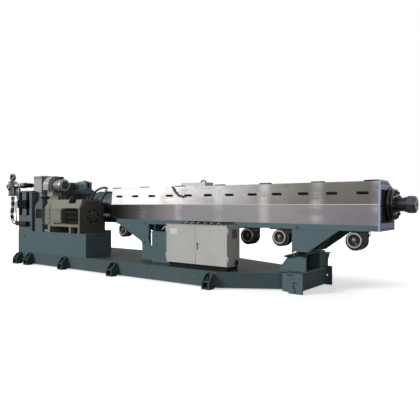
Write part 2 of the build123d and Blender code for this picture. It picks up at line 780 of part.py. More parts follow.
# Slotted guard at the drive end, with two long adjusting slots
slot_middle_z = SLOT_BOTTOM_Z + SLOT_LENGTH / 2
with BuildPart() as slotted_guard:
    with BuildSketch(near_plane(bed_near + SLOT_GUARD_DEPTH)):
        with Locations(
            ((SLOT_GUARD_LEFT + SLOT_GUARD_RIGHT) / 2, (PEDESTAL_TOP + SLOT_GUARD_TOP) / 2)
        ):
            Rectangle(SLOT_GUARD_RIGHT - SLOT_GUARD_LEFT, SLOT_GUARD_TOP - PEDESTAL_TOP)
    extrude(amount=SLOT_GUARD_DEPTH)
    fillet(slotted_guard.edges().filter_by(Axis.Z), BED_EDGE_ROUND)
    with BuildSketch(near_plane(bed_near)):
        with Locations(*[(x, slot_middle_z) for x in SLOT_XS]):
            Rectangle(SLOT_WIDTH, SLOT_LENGTH)
    extrude(amount=-SLOT_DEPTH, mode=Mode.SUBTRACT)
slotted_guard.part.label = "slotted_guard"
export_step(slotted_guard.part, "parts/slotted_guard.step")

# Junction box across the slots
with BuildPart() as guard_junction_box:
    with BuildSketch(near_plane(bed_near)):
        with Locations(
            (
                (JUNCTION_BOX_LEFT + JUNCTION_BOX_RIGHT) / 2,
                (JUNCTION_BOX_BOTTOM + JUNCTION_BOX_TOP) / 2,
            )
        ):
            Rectangle(JUNCTION_BOX_RIGHT - JUNCTION_BOX_LEFT, JUNCTION_BOX_TOP - JUNCTION_BOX_BOTTOM)
    extrude(amount=JUNCTION_BOX_REACH)
    chamfer(guard_junction_box.faces().sort_by(Axis.Y)[0].edges(), PEDESTAL_EDGE)
guard_junction_box.part.label = "guard_junction_box"
export_step(guard_junction_box.part, "parts/guard_junction_box.step")

# Coupling guard: upright panel with a quarter-round shoulder and a recessed window
with BuildPart() as coupling_guard:
    with BuildSketch(near_plane(coupling_guard_near)):
        with BuildLine():
            Line(
                (COUPLING_GUARD_RIGHT, PEDESTAL_TOP), (COUPLING_GUARD_LEFT, PEDESTAL_TOP)
            )
            Line(
                (COUPLING_GUARD_LEFT, PEDESTAL_TOP),
                (COUPLING_GUARD_LEFT, COUPLING_GUARD_SHOULDER_Z),
            )
            EllipticalCenterArc(
                (COUPLING_GUARD_RIGHT, COUPLING_GUARD_SHOULDER_Z),
                COUPLING_GUARD_RIGHT - COUPLING_GUARD_LEFT,
                COUPLING_GUARD_TOP - COUPLING_GUARD_SHOULDER_Z,
                start_angle=90,
                arc_size=90,
            )
            Line(
                (COUPLING_GUARD_RIGHT, COUPLING_GUARD_TOP), (COUPLING_GUARD_RIGHT, PEDESTAL_TOP)
            )
        make_face()
    extrude(amount=coupling_guard_near - belt_guard_near)
    with BuildSketch(near_plane(coupling_guard_near)):
        with Locations(
            (
                COUPLING_WINDOW_LEFT + COUPLING_WINDOW_WIDTH / 2,
                COUPLING_WINDOW_BOTTOM + COUPLING_WINDOW_HEIGHT / 2,
            )
        ):
            Rectangle(COUPLING_WINDOW_WIDTH, COUPLING_WINDOW_HEIGHT)
    extrude(amount=-COUPLING_WINDOW_DEPTH, mode=Mode.SUBTRACT)
coupling_guard.part.label = "coupling_guard"
export_step(coupling_guard.part, "parts/coupling_guard.step")

# Main motor: eight-sided frame on its feet, with drive flange, terminal cover and louvres
motor_near = motor_axis_y - MOTOR_HALF
motor_body_bottom = PEDESTAL_TOP + MOTOR_FOOT_HEIGHT
vent_height = VENT_TOP - VENT_BOTTOM


def motor_section(half, bottom, shoulder, top, top_half):
    """Half-width, bottom, shoulder height, top height and half of the flat top."""
    with BuildSketch(mode=Mode.PRIVATE) as section:
        with BuildLine():
            Polyline(
                (motor_axis_y - half, bottom),
                (motor_axis_y - half, shoulder),
                (motor_axis_y - top_half, top),
                (motor_axis_y + top_half, top),
                (motor_axis_y + half, shoulder),
                (motor_axis_y + half, bottom),
                close=True,
            )
        make_face()
    return section.sketch


body_section = motor_section(
    MOTOR_HALF, motor_body_bottom, MOTOR_SHOULDER_Z, MOTOR_TOP, MOTOR_TOP_HALF
)
flange_section = motor_section(
    MOTOR_HALF + MOTOR_FLANGE_REACH,
    PEDESTAL_TOP,
    MOTOR_SHOULDER_Z + MOTOR_FLANGE_REACH,
    MOTOR_TOP,
    MOTOR_TOP_HALF,
)
bell_section = motor_section(BELL_HALF, BELL_BOTTOM, BELL_SHOULDER_Z, BELL_TOP, BELL_TOP_HALF)
with BuildPart() as main_motor:
    with BuildSketch(cross_plane(COUPLING_GUARD_RIGHT)):
        add(body_section)
    extrude(amount=MOTOR_RIGHT - COUPLING_GUARD_RIGHT)
    with BuildSketch(cross_plane(COUPLING_GUARD_RIGHT)):
        add(flange_section)
    extrude(amount=MOTOR_FLANGE_THICK)
    with BuildSketch(level_plane(PEDESTAL_TOP)):
        with Locations(
            (MOTOR_MIDDLE_FOOT_X, motor_axis_y), (MOTOR_RIGHT - MOTOR_FOOT_WIDTH / 2, motor_axis_y)
        ):
            Rectangle(MOTOR_FOOT_WIDTH, 2 * MOTOR_HALF)
    extrude(amount=MOTOR_FOOT_HEIGHT)
    with BuildSketch(near_plane(motor_near - MOTOR_FLANGE_REACH)):
        with Locations((MOTOR_PORT_X, MOTOR_PORT_BOTTOM + MOTOR_PORT_HEIGHT / 2)):
            Rectangle(MOTOR_PORT_WIDTH, MOTOR_PORT_HEIGHT)
    extrude(amount=-MOTOR_PORT_DEPTH, mode=Mode.SUBTRACT)
    with BuildSketch(near_plane(motor_near)):
        with Locations(
            ((TERMINAL_LEFT + TERMINAL_RIGHT) / 2, (TERMINAL_BOTTOM + TERMINAL_TOP) / 2)
        ):
            RectangleRounded(
                TERMINAL_RIGHT - TERMINAL_LEFT, TERMINAL_TOP - TERMINAL_BOTTOM, MOTOR_BODY_ROUND
            )
    extrude(amount=TERMINAL_REACH)
    with BuildSketch(near_plane(motor_near)):
        with Locations(((VENT_LEFT + VENT_RIGHT) / 2, (VENT_BOTTOM + VENT_TOP) / 2)):
            Rectangle(VENT_RIGHT - VENT_LEFT, vent_height)
    extrude(amount=-VENT_DEPTH, mode=Mode.SUBTRACT)
    for slat in range(VENT_SLAT_COUNT):
        slat_z = VENT_BOTTOM + (slat + 0.5) * vent_height / VENT_SLAT_COUNT
        with BuildSketch(near_plane(motor_near + VENT_DEPTH)):
            with Locations(((VENT_LEFT + VENT_RIGHT) / 2, slat_z)):
                Rectangle(VENT_RIGHT - VENT_LEFT, VENT_SLAT_THICK)
        extrude(amount=VENT_SLAT_DEPTH)
main_motor.part.label = "main_motor"
export_step(main_motor.part, "parts/main_motor.step")

# Motor end bell: eight-sided casting with its bearing hub
with BuildPart() as motor_end_bell:
    with BuildSketch(cross_plane(MOTOR_RIGHT)):
        add(bell_section)
    extrude(amount=BELL_THICK)
    with BuildSketch(level_plane(PEDESTAL_TOP)):
        with Locations((MOTOR_RIGHT + BELL_THICK / 2, motor_axis_y)):
            Rectangle(BELL_THICK, BELL_FOOT_WIDTH)
    extrude(amount=BELL_BOTTOM - PEDESTAL_TOP)
    with BuildSketch(cross_plane(MOTOR_RIGHT + BELL_THICK)):
        with Locations((motor_axis_y, BELL_HUB_Z)):
            Circle(BELL_HUB_RADIUS)
    extrude(amount=BELL_HUB_REACH)
    with BuildSketch(cross_plane(MOTOR_RIGHT + BELL_THICK + BELL_HUB_REACH)):
        with Locations((motor_axis_y, BELL_HUB_Z)):
            Circle(BELL_CAP_RADIUS)
    extrude(amount=BELL_CAP_REACH)
motor_end_bell.part.label = "motor_end_bell"
export_step(motor_end_bell.part, "parts/motor_end_bell.step")

# Blower duct on the motor's top
duct_middle = (DUCT_LEFT + DUCT_RIGHT) / 2
duct_neck_half = DUCT_HALF - DUCT_FLANGE_REACH
with BuildPart() as blower_duct:
    with BuildSketch(level_plane(MOTOR_TOP)):
        with Locations((duct_middle, blower_y)):
            Rectangle(DUCT_RIGHT - DUCT_LEFT, 2 * DUCT_HALF)
    extrude(amount=DUCT_FLANGE)
    with BuildSketch(level_plane(MOTOR_TOP + DUCT_FLANGE)):
        with Locations((duct_middle, blower_y)):
            Rectangle(DUCT_RIGHT - DUCT_LEFT - 2 * DUCT_FLANGE_REACH, 2 * duct_neck_half)
    extrude(amount=DUCT_TOP - MOTOR_TOP - 2 * DUCT_FLANGE)
    with BuildSketch(level_plane(DUCT_TOP - DUCT_FLANGE)):
        with Locations((duct_middle, blower_y)):
            Rectangle(DUCT_RIGHT - DUCT_LEFT, 2 * DUCT_HALF)
    extrude(amount=DUCT_FLANGE)
blower_duct.part.label = "blower_duct"
export_step(blower_duct.part, "parts/blower_duct.step")

# Motor blower: snail housing over its outlet box, its own motor and the inlet cone to the filter
blower_housing = scroll_outline(SCROLL_START_RADIUS, SCROLL_END_RADIUS, SCROLL_OUTLET)
outlet_height = BLOWER_Z - DUCT_TOP
with BuildPart() as motor_blower:
    with BuildSketch(cross_plane(SCROLL_LEFT)):
        with Locations(Location((blower_y, BLOWER_Z), 180)):
            add(blower_housing)
        with Locations((blower_y, DUCT_TOP + outlet_height / 2)):
            Rectangle(2 * duct_neck_half, outlet_height)
    extrude(amount=SCROLL_RIGHT - SCROLL_LEFT)
    with BuildSketch(cross_plane(SCROLL_RIGHT)):
        with Locations((blower_y, BLOWER_Z)):
            Circle(BLOWER_MOTOR_RADIUS)
    extrude(amount=BLOWER_MOTOR_RIGHT - SCROLL_RIGHT)
    fillet(
        motor_blower.faces().sort_by(Axis.X)[-1].edges(),
        BLOWER_MOTOR_ROUND,
    )
    with BuildSketch(cross_plane(FILTER_RIGHT)):
        with Locations((blower_y, BLOWER_Z)):
            Circle(BLOWER_CONE_SMALL)
    with BuildSketch(cross_plane(SCROLL_LEFT)):
        with Locations((blower_y, BLOWER_Z)):
            Circle(BLOWER_CONE_LARGE)
    loft()
motor_blower.part.label = "motor_blower"
export_step(motor_blower.part, "parts/motor_blower.step")

# Blower filter: pale box with a raised band, standing on the belt guard
filter_middle_x = (FILTER_LEFT + FILTER_RIGHT) / 2
filter_middle_y = filter_near + FILTER_DEPTH / 2
with BuildPart() as blower_filter:
    with BuildSketch(level_plane(BELT_GUARD_TOP)):
        with Locations((filter_middle_x, filter_middle_y)):
            Rectangle(FILTER_RIGHT - FILTER_LEFT, FILTER_DEPTH)
    extrude(amount=FILTER_TOP - BELT_GUARD_TOP)
    fillet(blower_filter.edges().filter_by(Axis.Z), FILTER_EDGE)
    chamfer(blower_filter.faces().sort_by(Axis.Z)[-1].edges(), FILTER_EDGE / 2)
blower_filter.part.label = "blower_filter"
export_step(blower_filter.part, "parts/blower_filter.step")

# Oil unit: upright cooler body with its top ring, air pipe, side pump and bracket arm
with BuildPart() as oil_unit:
    with BuildSketch(level_plane(OIL_BODY_BOTTOM)):
        with Locations((OIL_X, oil_y)):
            Circle(OIL_BODY_RADIUS)
    extrude(amount=OIL_BODY_TOP - OIL_BODY_BOTTOM)
    fillet(oil_unit.edges().filter_by(GeomType.CIRCLE), MANIFOLD_ROUND)
    with BuildSketch(level_plane(OIL_BODY_TOP)):
        with Locations((OIL_X, oil_y)):
            Circle(OIL_NECK_RADIUS)
    extrude(amount=OIL_RING_Z - OIL_RING_BORE - OIL_BODY_TOP)
    with BuildSketch(near_plane(oil_y + OIL_RING_THICK / 2)):
        with Locations((OIL_X, OIL_RING_Z)):
            Circle(OIL_RING_RADIUS)
            Circle(OIL_RING_BORE, mode=Mode.SUBTRACT)
    extrude(amount=OIL_RING_THICK)
    with BuildSketch(cross_plane(OIL_END_X)):
        with Locations((oil_y, OIL_PIPE_Z)):
            Circle(OIL_SIDE_RADIUS)
    extrude(amount=OIL_X - OIL_END_X)
    with BuildLine() as pipe_path:
        FilletPolyline(
            (OIL_X, oil_y, OIL_PIPE_Z),
            (OIL_ELBOW_X, oil_y, OIL_PIPE_Z),
            (OIL_ELBOW_X, oil_elbow_y, OIL_PIPE_Z),
            (FILTER_LEFT, oil_elbow_y, OIL_PIPE_Z),
            radius=OIL_ELBOW_BEND,
        )
    with BuildSketch(cross_plane(OIL_X)):
        with Locations((oil_y, OIL_PIPE_Z)):
            Circle(OIL_PIPE_RADIUS)
    sweep(path=pipe_path.line)
    with BuildSketch(cross_plane(OIL_ELBOW_X - OIL_ELBOW_BEND - OIL_COLLAR_LENGTH)):
        with Locations((oil_y, OIL_PIPE_Z)):
            Circle(OIL_COLLAR_RADIUS)
    extrude(amount=OIL_COLLAR_LENGTH)
    with BuildSketch(near_plane(oil_y + OIL_ARM_THICK / 2)):
        with Locations(((OIL_X + SLOT_GUARD_LEFT) / 2, OIL_ARM_BOTTOM + OIL_ARM_HEIGHT / 2)):
            Rectangle(SLOT_GUARD_LEFT - OIL_X, OIL_ARM_HEIGHT)
    extrude(amount=OIL_ARM_THICK)
oil_unit.part.label = "oil_unit"
export_step(oil_unit.part, "parts/oil_unit.step")

# Oil hoses: two hoses from the cooler down to the manifold on the slotted guard
with BuildPart() as oil_hoses:
    with BuildSketch(near_plane(bed_near)):
        with Locations(
            ((MANIFOLD_LEFT + MANIFOLD_RIGHT) / 2, (MANIFOLD_BOTTOM + MANIFOLD_TOP) / 2)
        ):
            Rectangle(MANIFOLD_RIGHT - MANIFOLD_LEFT, MANIFOLD_TOP - MANIFOLD_BOTTOM)
    extrude(amount=MANIFOLD_REACH)
    fillet(oil_hoses.edges().filter_by(Axis.X).group_by(Axis.Y)[0], MANIFOLD_ROUND)
    for hose in (-1, 1):
        hose_top = Vector(OIL_X + hose * OIL_HOSE_SPREAD / 2, oil_y, OIL_BODY_BOTTOM)
        end_shift = Vector(0, 0, hose * OIL_HOSE_END_SPREAD / 2)
        hose_route = [hose_top] + [hose_top + Vector(*point) for point in OIL_HOSE_ROUTE]
        hose_route[-1] = hose_route[-1] + end_shift
        hose_route.append(Vector(MANIFOLD_LEFT, hose_route[-1].Y, hose_route[-1].Z))
        with BuildLine() as hose_path:
            FilletPolyline(*hose_route, radius=bend_radii(hose_route))
        with BuildSketch(level_plane(OIL_BODY_BOTTOM)):
            with Locations((hose_top.X, oil_y)):
                Circle(OIL_HOSE_RADIUS)
        sweep(path=hose_path.line)
oil_hoses.part.label = "oil_hoses"
export_step(oil_hoses.part, "parts/oil_hoses.step")

# Feed housing: domed drum on the screw line, with the jacket hood round its left part
feed_left = GEARBOX_RIGHT + THRUST_LENGTH
hood_left = feed_left + FEED_HOOD_START
side_port_out = Vector(0, -1, 0).rotate(Axis.X, -WATER_PORT_ANGLE)
with BuildPart() as feed_housing:
    with BuildSketch(cross_plane(feed_left)):
        with Locations((axis_y, AXIS_Z)):
            Circle(FEED_RADIUS)
    extrude(amount=FEED_RIGHT - feed_left)
    fillet(feed_housing.edges().filter_by(GeomType.CIRCLE).sort_by(Axis.X)[0], FEED_DOME_ROUND)
    with BuildSketch(cross_plane(hood_left)):
        with Locations((axis_y, AXIS_Z)):
            Circle(FEED_HOOD_RADIUS)
    extrude(amount=FEED_HOOD_LENGTH)
    fillet(
        feed_housing.edges().filter_by(GeomType.CIRCLE).group_by(SortBy.RADIUS)[-1], FILTER_EDGE
    )
    for port_x, port_out in ((SIDE_PORT_X, side_port_out), (CROWN_PORT_X, Vector(0, 0, 1))):
        drum_middle = Vector(hood_left + port_x, axis_y, AXIS_Z)
        port_root = drum_middle + port_out * (FEED_HOOD_RADIUS - WATER_PORT_ROOT)
        with BuildSketch(Plane(origin=port_root, x_dir=(1, 0, 0), z_dir=port_out)):
            Circle(WATER_PORT_RADIUS)
        extrude(amount=WATER_PORT_ROOT + WATER_PORT_REACH)
feed_housing.part.label = "feed_housing"
export_step(feed_housing.part, "parts/feed_housing.step")

# Support block: carries the barrel's rear end on the beam, cradled round the feed drum
with BuildPart() as barrel_support_block:
    with BuildSketch(cross_plane(SUPPORT_BLOCK_LEFT)):
        with Locations((axis_y, (BEAM_BOTTOM + SUPPORT_BLOCK_TOP) / 2)):
            Rectangle(2 * SUPPORT_BLOCK_HALF, SUPPORT_BLOCK_TOP - BEAM_BOTTOM)
        with Locations((axis_y, AXIS_Z)):
            Circle(FEED_RADIUS + SEAT_CLEARANCE, mode=Mode.SUBTRACT)
    extrude(amount=FEED_RIGHT - SUPPORT_BLOCK_LEFT)
    with BuildSketch(level_plane(BEAM_BOTTOM)):
        with Locations(((FEED_RIGHT + BEAM_LEFT) / 2, axis_y)):
            Rectangle(BEAM_LEFT - FEED_RIGHT, 2 * SUPPORT_BLOCK_HALF)
    extrude(amount=BEAM_TOP - BEAM_BOTTOM)
barrel_support_block.part.label = "barrel_support_block"
export_step(barrel_support_block.part, "parts/barrel_support_block.step")

# Water hose from the port on the hood's near side, over the top to the port on its crown
port_tip = FEED_HOOD_RADIUS + WATER_PORT_REACH
route_start = Vector(hood_left, axis_y, AXIS_Z)
water_route = [route_start + Vector(SIDE_PORT_X, 0, 0) + side_port_out * port_tip]
water_route += [water_route[0] + side_port_out * WATER_HOSE_LEAD]
water_route += [route_start + Vector(*point) for point in WATER_HOSE_ROUTE]
water_route += [route_start + Vector(CROWN_PORT_X, 0, port_tip)]
with BuildPart() as feed_water_hose:
    with BuildLine() as water_path:
        FilletPolyline(*water_route, radius=bend_radii(water_route))
    with BuildSketch(Plane(origin=water_path.line @ 0, z_dir=water_path.line % 0)):
        Circle(WATER_HOSE_RADIUS)
    sweep(path=water_path.line)
feed_water_hose.part.label = "feed_water_hose"
export_step(feed_water_hose.part, "parts/feed_water_hose.step")

# Barrel on the screw line, inside the covers
with BuildPart() as barrel:
    with BuildSketch(cross_plane(FEED_RIGHT)):
        with Locations((axis_y, AXIS_Z)):
            Circle(BARREL_RADIUS)
    extrude(amount=cover_right - FEED_RIGHT)
barrel.part.label = "barrel"
export_step(barrel.part, "parts/barrel.step")


def cover_outline(inset, bottom):
    """The cover's section across the machine, moved in by a sheet thickness."""
    with BuildSketch(mode=Mode.PRIVATE) as outline:
        with BuildLine():
            Polyline(
                (beam_near + inset, bottom),
                (beam_near + inset, COVER_RIDGE_Z),
                (cover_top_near + inset, COVER_TOP - inset),
                (cover_top_far, COVER_TOP - inset),
                (cover_shoulder_y - inset, COVER_SHOULDER_Z - inset),
                (beam_far - inset, COVER_RIDGE_Z),
                (beam_far - inset, bottom),
                close=True,
            )
        make_face()
    return outline.sketch


# Frame end plate closing the covers and the beam, with a recessed window round the flange's seat
recess_middle = (PLATE_RECESS_BOTTOM + PLATE_RECESS_TOP) / 2
with BuildPart() as frame_end_plate:
    with BuildSketch(cross_plane(cover_right)):
        add(cover_outline(-END_PLATE_RIM, BEAM_BOTTOM))
    extrude(amount=END_PLATE_THICK)
    with BuildSketch(cross_plane(cover_right + END_PLATE_THICK)):
        with Locations((axis_y + (PLATE_RECESS_FAR - PLATE_RECESS_NEAR) / 2, recess_middle)):
            Rectangle(PLATE_RECESS_NEAR + PLATE_RECESS_FAR, PLATE_RECESS_TOP - PLATE_RECESS_BOTTOM)
        with Locations((axis_y, AXIS_Z)):
            Circle(FLANGE_GROOVE_RADIUS, mode=Mode.SUBTRACT)
    extrude(amount=-PLATE_RECESS_DEPTH, mode=Mode.SUBTRACT)
frame_end_plate.part.label = "frame_end_plate"
export_step(frame_end_plate.part, "parts/frame_end_plate.step")

# Barrel flange: two bolted rings with a groove between them
flange_left = cover_right + END_PLATE_THICK
flange_right = flange_left + 2 * FLANGE_THICK + FLANGE_GROOVE
with BuildPart() as barrel_flange:
    with BuildSketch(near_plane(axis_y)):
        with BuildLine():
            Polyline(
                (flange_left, AXIS_Z),
                (flange_left, AXIS_Z + FLANGE_BACK_RADIUS - FLANGE_EDGE),
                (flange_left + FLANGE_EDGE, AXIS_Z + FLANGE_BACK_RADIUS),
                (flange_left + FLANGE_THICK - FLANGE_EDGE, AXIS_Z + FLANGE_BACK_RADIUS),
                (flange_left + FLANGE_THICK, AXIS_Z + FLANGE_BACK_RADIUS - FLANGE_EDGE),
                (flange_left + FLANGE_THICK, AXIS_Z + FLANGE_GROOVE_RADIUS),
                (flange_left + FLANGE_THICK + FLANGE_GROOVE, AXIS_Z + FLANGE_GROOVE_RADIUS),
                (flange_left + FLANGE_THICK + FLANGE_GROOVE, AXIS_Z + FLANGE_RADIUS - FLANGE_EDGE),
                (flange_left + FLANGE_THICK + FLANGE_GROOVE + FLANGE_EDGE, AXIS_Z + FLANGE_RADIUS),
                (flange_right - FLANGE_EDGE, AXIS_Z + FLANGE_RADIUS),
                (flange_right, AXIS_Z + FLANGE_RADIUS - FLANGE_EDGE),
                (flange_right, AXIS_Z),
                close=True,
            )
        make_face()
    revolve(axis=screw_line)
barrel_flange.part.label = "barrel_flange"
export_step(barrel_flange.part, "parts/barrel_flange.step")

# Die adapter: neck, stud ring and end flange, with the melt bore and the die's tapped holes
head_left = flange_right + HEAD_NECK_LENGTH
die_end = head_left + HEAD_LENGTH
with BuildPart() as die_adapter:
    with BuildSketch(cross_plane(flange_right)):
        with Locations((axis_y, AXIS_Z)):
            Circle(HEAD_NECK_RADIUS)
    extrude(amount=HEAD_NECK_LENGTH)
    with BuildSketch(cross_plane(flange_right)):
        with Locations((axis_y, AXIS_Z)):
            with PolarLocations(HEAD_STUD_CIRCLE / 2, HEAD_STUD_COUNT):
                Circle(HEAD_STUD_RADIUS)
    extrude(amount=HEAD_NECK_LENGTH)
    with BuildSketch(cross_plane(head_left)):
        with Locations((axis_y, AXIS_Z)):
            Circle(HEAD_RADIUS)
    extrude(amount=die_end - HEAD_NOSE_LENGTH - head_left)
    with BuildSketch(cross_plane(die_end - HEAD_NOSE_LENGTH)):
        with Locations((axis_y, AXIS_Z)):
            Circle(HEAD_RADIUS)
    with BuildSketch(cross_plane(die_end)):
        with Locations((axis_y, AXIS_Z)):
            Circle(HEAD_NOSE_RADIUS)
    loft()
    with BuildSketch(cross_plane(die_end)):
        with Locations((axis_y, AXIS_Z)):
            Circle(MELT_BORE_RADIUS)
    extrude(amount=flange_right - die_end, mode=Mode.SUBTRACT)
    with BuildSketch(cross_plane(die_end)):
        with Locations((axis_y, AXIS_Z)):
            with PolarLocations(DIE_BOLT_CIRCLE / 2, DIE_BOLT_COUNT):
                Circle(DIE_BOLT_HOLE_RADIUS)
    extrude(amount=-DIE_BOLT_DEPTH, mode=Mode.SUBTRACT)
die_adapter.part.label = "die_adapter"
export_step(die_adapter.part, "parts/die_adapter.step")

# Barrel covers: six folded sheet hoods, open below, end to end along the beam
for number in range(COVER_COUNT):
    with BuildPart() as cover:
        with BuildSketch(cross_plane(COVER_LEFT + number * COVER_LENGTH)):
            add(cover_outline(0, BEAM_TOP))
            add(cover_outline(COVER_SHEET, BEAM_TOP), mode=Mode.SUBTRACT)
        extrude(amount=COVER_LENGTH - COVER_JOINT)
    cover.part.label = f"barrel_cover_{number + 1}"
    export_step(cover.part, f"parts/barrel_cover_{number + 1}.step")

# Cover handles on the sloping near panel
panel_run = cover_top_near - beam_near
panel_rise = COVER_TOP - COVER_RIDGE_Z
handle_y = beam_near + panel_run * (HANDLE_Z - COVER_RIDGE_Z) / panel_rise
handle_plane = Plane(
    origin=(COVER_LEFT, handle_y, HANDLE_Z), x_dir=(1, 0, 0), z_dir=(0, -panel_rise, panel_run)
)
handle_count = round(COVER_COUNT * COVER_LENGTH / HANDLE_PITCH)
with BuildPart() as cover_handles:
    with BuildSketch(handle_plane):
        with Locations(*[((i + 0.5) * HANDLE_PITCH, 0) for i in range(handle_count)]):
            SlotOverall(HANDLE_LENGTH, HANDLE_WIDTH)
    extrude(amount=HANDLE_THICK)
cover_handles.part.label = "cover_handles"
export_step(cover_handles.part, "parts/cover_handles.step")

# Cover clips: short black strips over the joints along the top edge
clip_xs = [COVER_LEFT + i * COVER_LENGTH for i in range(1, COVER_COUNT)]
clip_xs = [COVER_LEFT + CLIP_END_INSET] + clip_xs + [cover_right - CLIP_END_INSET]
with BuildPart() as cover_clips:
    with BuildSketch(level_plane(COVER_TOP)):
        with Locations(*[(x, cover_top_near + CLIP_WIDTH / 2) for x in clip_xs]):
            Rectangle(CLIP_LENGTH, CLIP_WIDTH)
    extrude(amount=CLIP_THICK)
cover_clips.part.label = "cover_clips"
export_step(cover_clips.part, "parts/cover_clips.step")

# Low pale box on top of the covers
with BuildPart() as cover_top_box:
    with BuildSketch(level_plane(COVER_TOP)):
        with Locations(((TOP_BOX_LEFT + TOP_BOX_RIGHT) / 2, cover_top_near + 2 * TOP_BOX_HALF)):
            Rectangle(TOP_BOX_RIGHT - TOP_BOX_LEFT, 2 * TOP_BOX_HALF)
    extrude(amount=TOP_BOX_HEIGHT)
    fillet(cover_top_box.edges().filter_by(Axis.Z), TOP_BOX_ROUND)
cover_top_box.part.label = "cover_top_box"
export_step(cover_top_box.part, "parts/cover_top_box.step")

# Barrel beam: closed box section under the covers
with BuildPart() as barrel_beam:
    with BuildSketch(cross_plane(BEAM_LEFT)):
        with Locations(((beam_near + beam_far) / 2, (BEAM_BOTTOM + BEAM_TOP) / 2)):
            Rectangle(beam_far - beam_near, BEAM_TOP - BEAM_BOTTOM)
        with Locations(((beam_near + beam_far) / 2, (BEAM_BOTTOM + BEAM_TOP) / 2)):
            Rectangle(
                beam_far - beam_near - 2 * BEAM_WALL,
                BEAM_TOP - BEAM_BOTTOM - 2 * BEAM_WALL,
                mode=Mode.SUBTRACT,
            )
    extrude(amount=cover_right - BEAM_LEFT)
barrel_beam.part.label = "barrel_beam"
export_step(barrel_beam.part, "parts/barrel_beam.step")

# Left leg: a braced plate on each side, stiffened by an upright web
with BuildPart() as left_leg:
    for plate_near in (beam_near, beam_far - LEG_PLATE):
        with BuildSketch(near_plane(plate_near)):
            with BuildLine():
                brace_tangent = RadiusArc(
                    (LEFT_LEG_WAIST_X - LEFT_LEG_BEND / 2, LEFT_LEG_WAIST_Z + LEFT_LEG_BEND / 3),
                    (LEFT_LEG_WAIST_X, LEFT_LEG_WAIST_Z - LEFT_LEG_BEND / 2),
                    LEFT_LEG_BEND,
                )
                Polyline(
                    brace_tangent @ 1,
                    (LEFT_LEG_WAIST_X, BED_TOP),
                    (LEFT_LEG_TOE_X, BED_TOP),
                    (LEFT_LEG_RIGHT, LEFT_LEG_KNEE_Z),
                    (LEFT_LEG_RIGHT, BEAM_BOTTOM),
                    (LEFT_LEG_TOP_LEFT, BEAM_BOTTOM),
                    brace_tangent @ 0,
                )
            make_face()
        extrude(amount=-LEG_PLATE)
    web_ys = (beam_near + LEG_PLATE + LEG_WEB_DEPTH / 2, beam_far - LEG_PLATE - LEG_WEB_DEPTH / 2)
    with BuildSketch(level_plane(BED_TOP)):
        with Locations(*[(LEFT_LEG_WEB_X, y) for y in web_ys]):
            Rectangle(LEG_PLATE, LEG_WEB_DEPTH)
    extrude(amount=BEAM_BOTTOM - BED_TOP)
left_leg.part.label = "left_leg"
export_step(left_leg.part, "parts/left_leg.step")

# Right leg: two hanging gusset plates with a cross web and a sole plate
right_web_x = (right_leg_left + right_leg_bottom_right) / 2
with BuildPart() as right_leg:
    for plate_near in (beam_near, beam_far - LEG_PLATE):
        with BuildSketch(near_plane(plate_near)):
            with BuildLine():
                Polyline(
                    (right_leg_left, BEAM_BOTTOM),
                    (right_leg_left, RIGHT_LEG_BOTTOM),
                    (right_leg_bottom_right, RIGHT_LEG_BOTTOM),
                    (right_leg_top_right, BEAM_BOTTOM),
                    close=True,
                )
            make_face()
        extrude(amount=-LEG_PLATE)
    with BuildSketch(level_plane(RIGHT_LEG_BOTTOM)):
        with Locations((right_web_x, (beam_near + beam_far) / 2)):
            Rectangle(LEG_PLATE, beam_far - beam_near - 2 * LEG_PLATE)
    extrude(amount=BEAM_BOTTOM - RIGHT_LEG_BOTTOM)
    with BuildSketch(level_plane(RIGHT_LEG_BOTTOM)):
        with Locations((right_web_x, (beam_near + beam_far) / 2)):
            Rectangle(right_leg_bottom_right - right_leg_left, beam_far - beam_near - 2 * LEG_PLATE)
    extrude(amount=LEG_FOOT_THICK)
right_leg.part.label = "right_leg"
export_step(right_leg.part, "parts/right_leg.step")

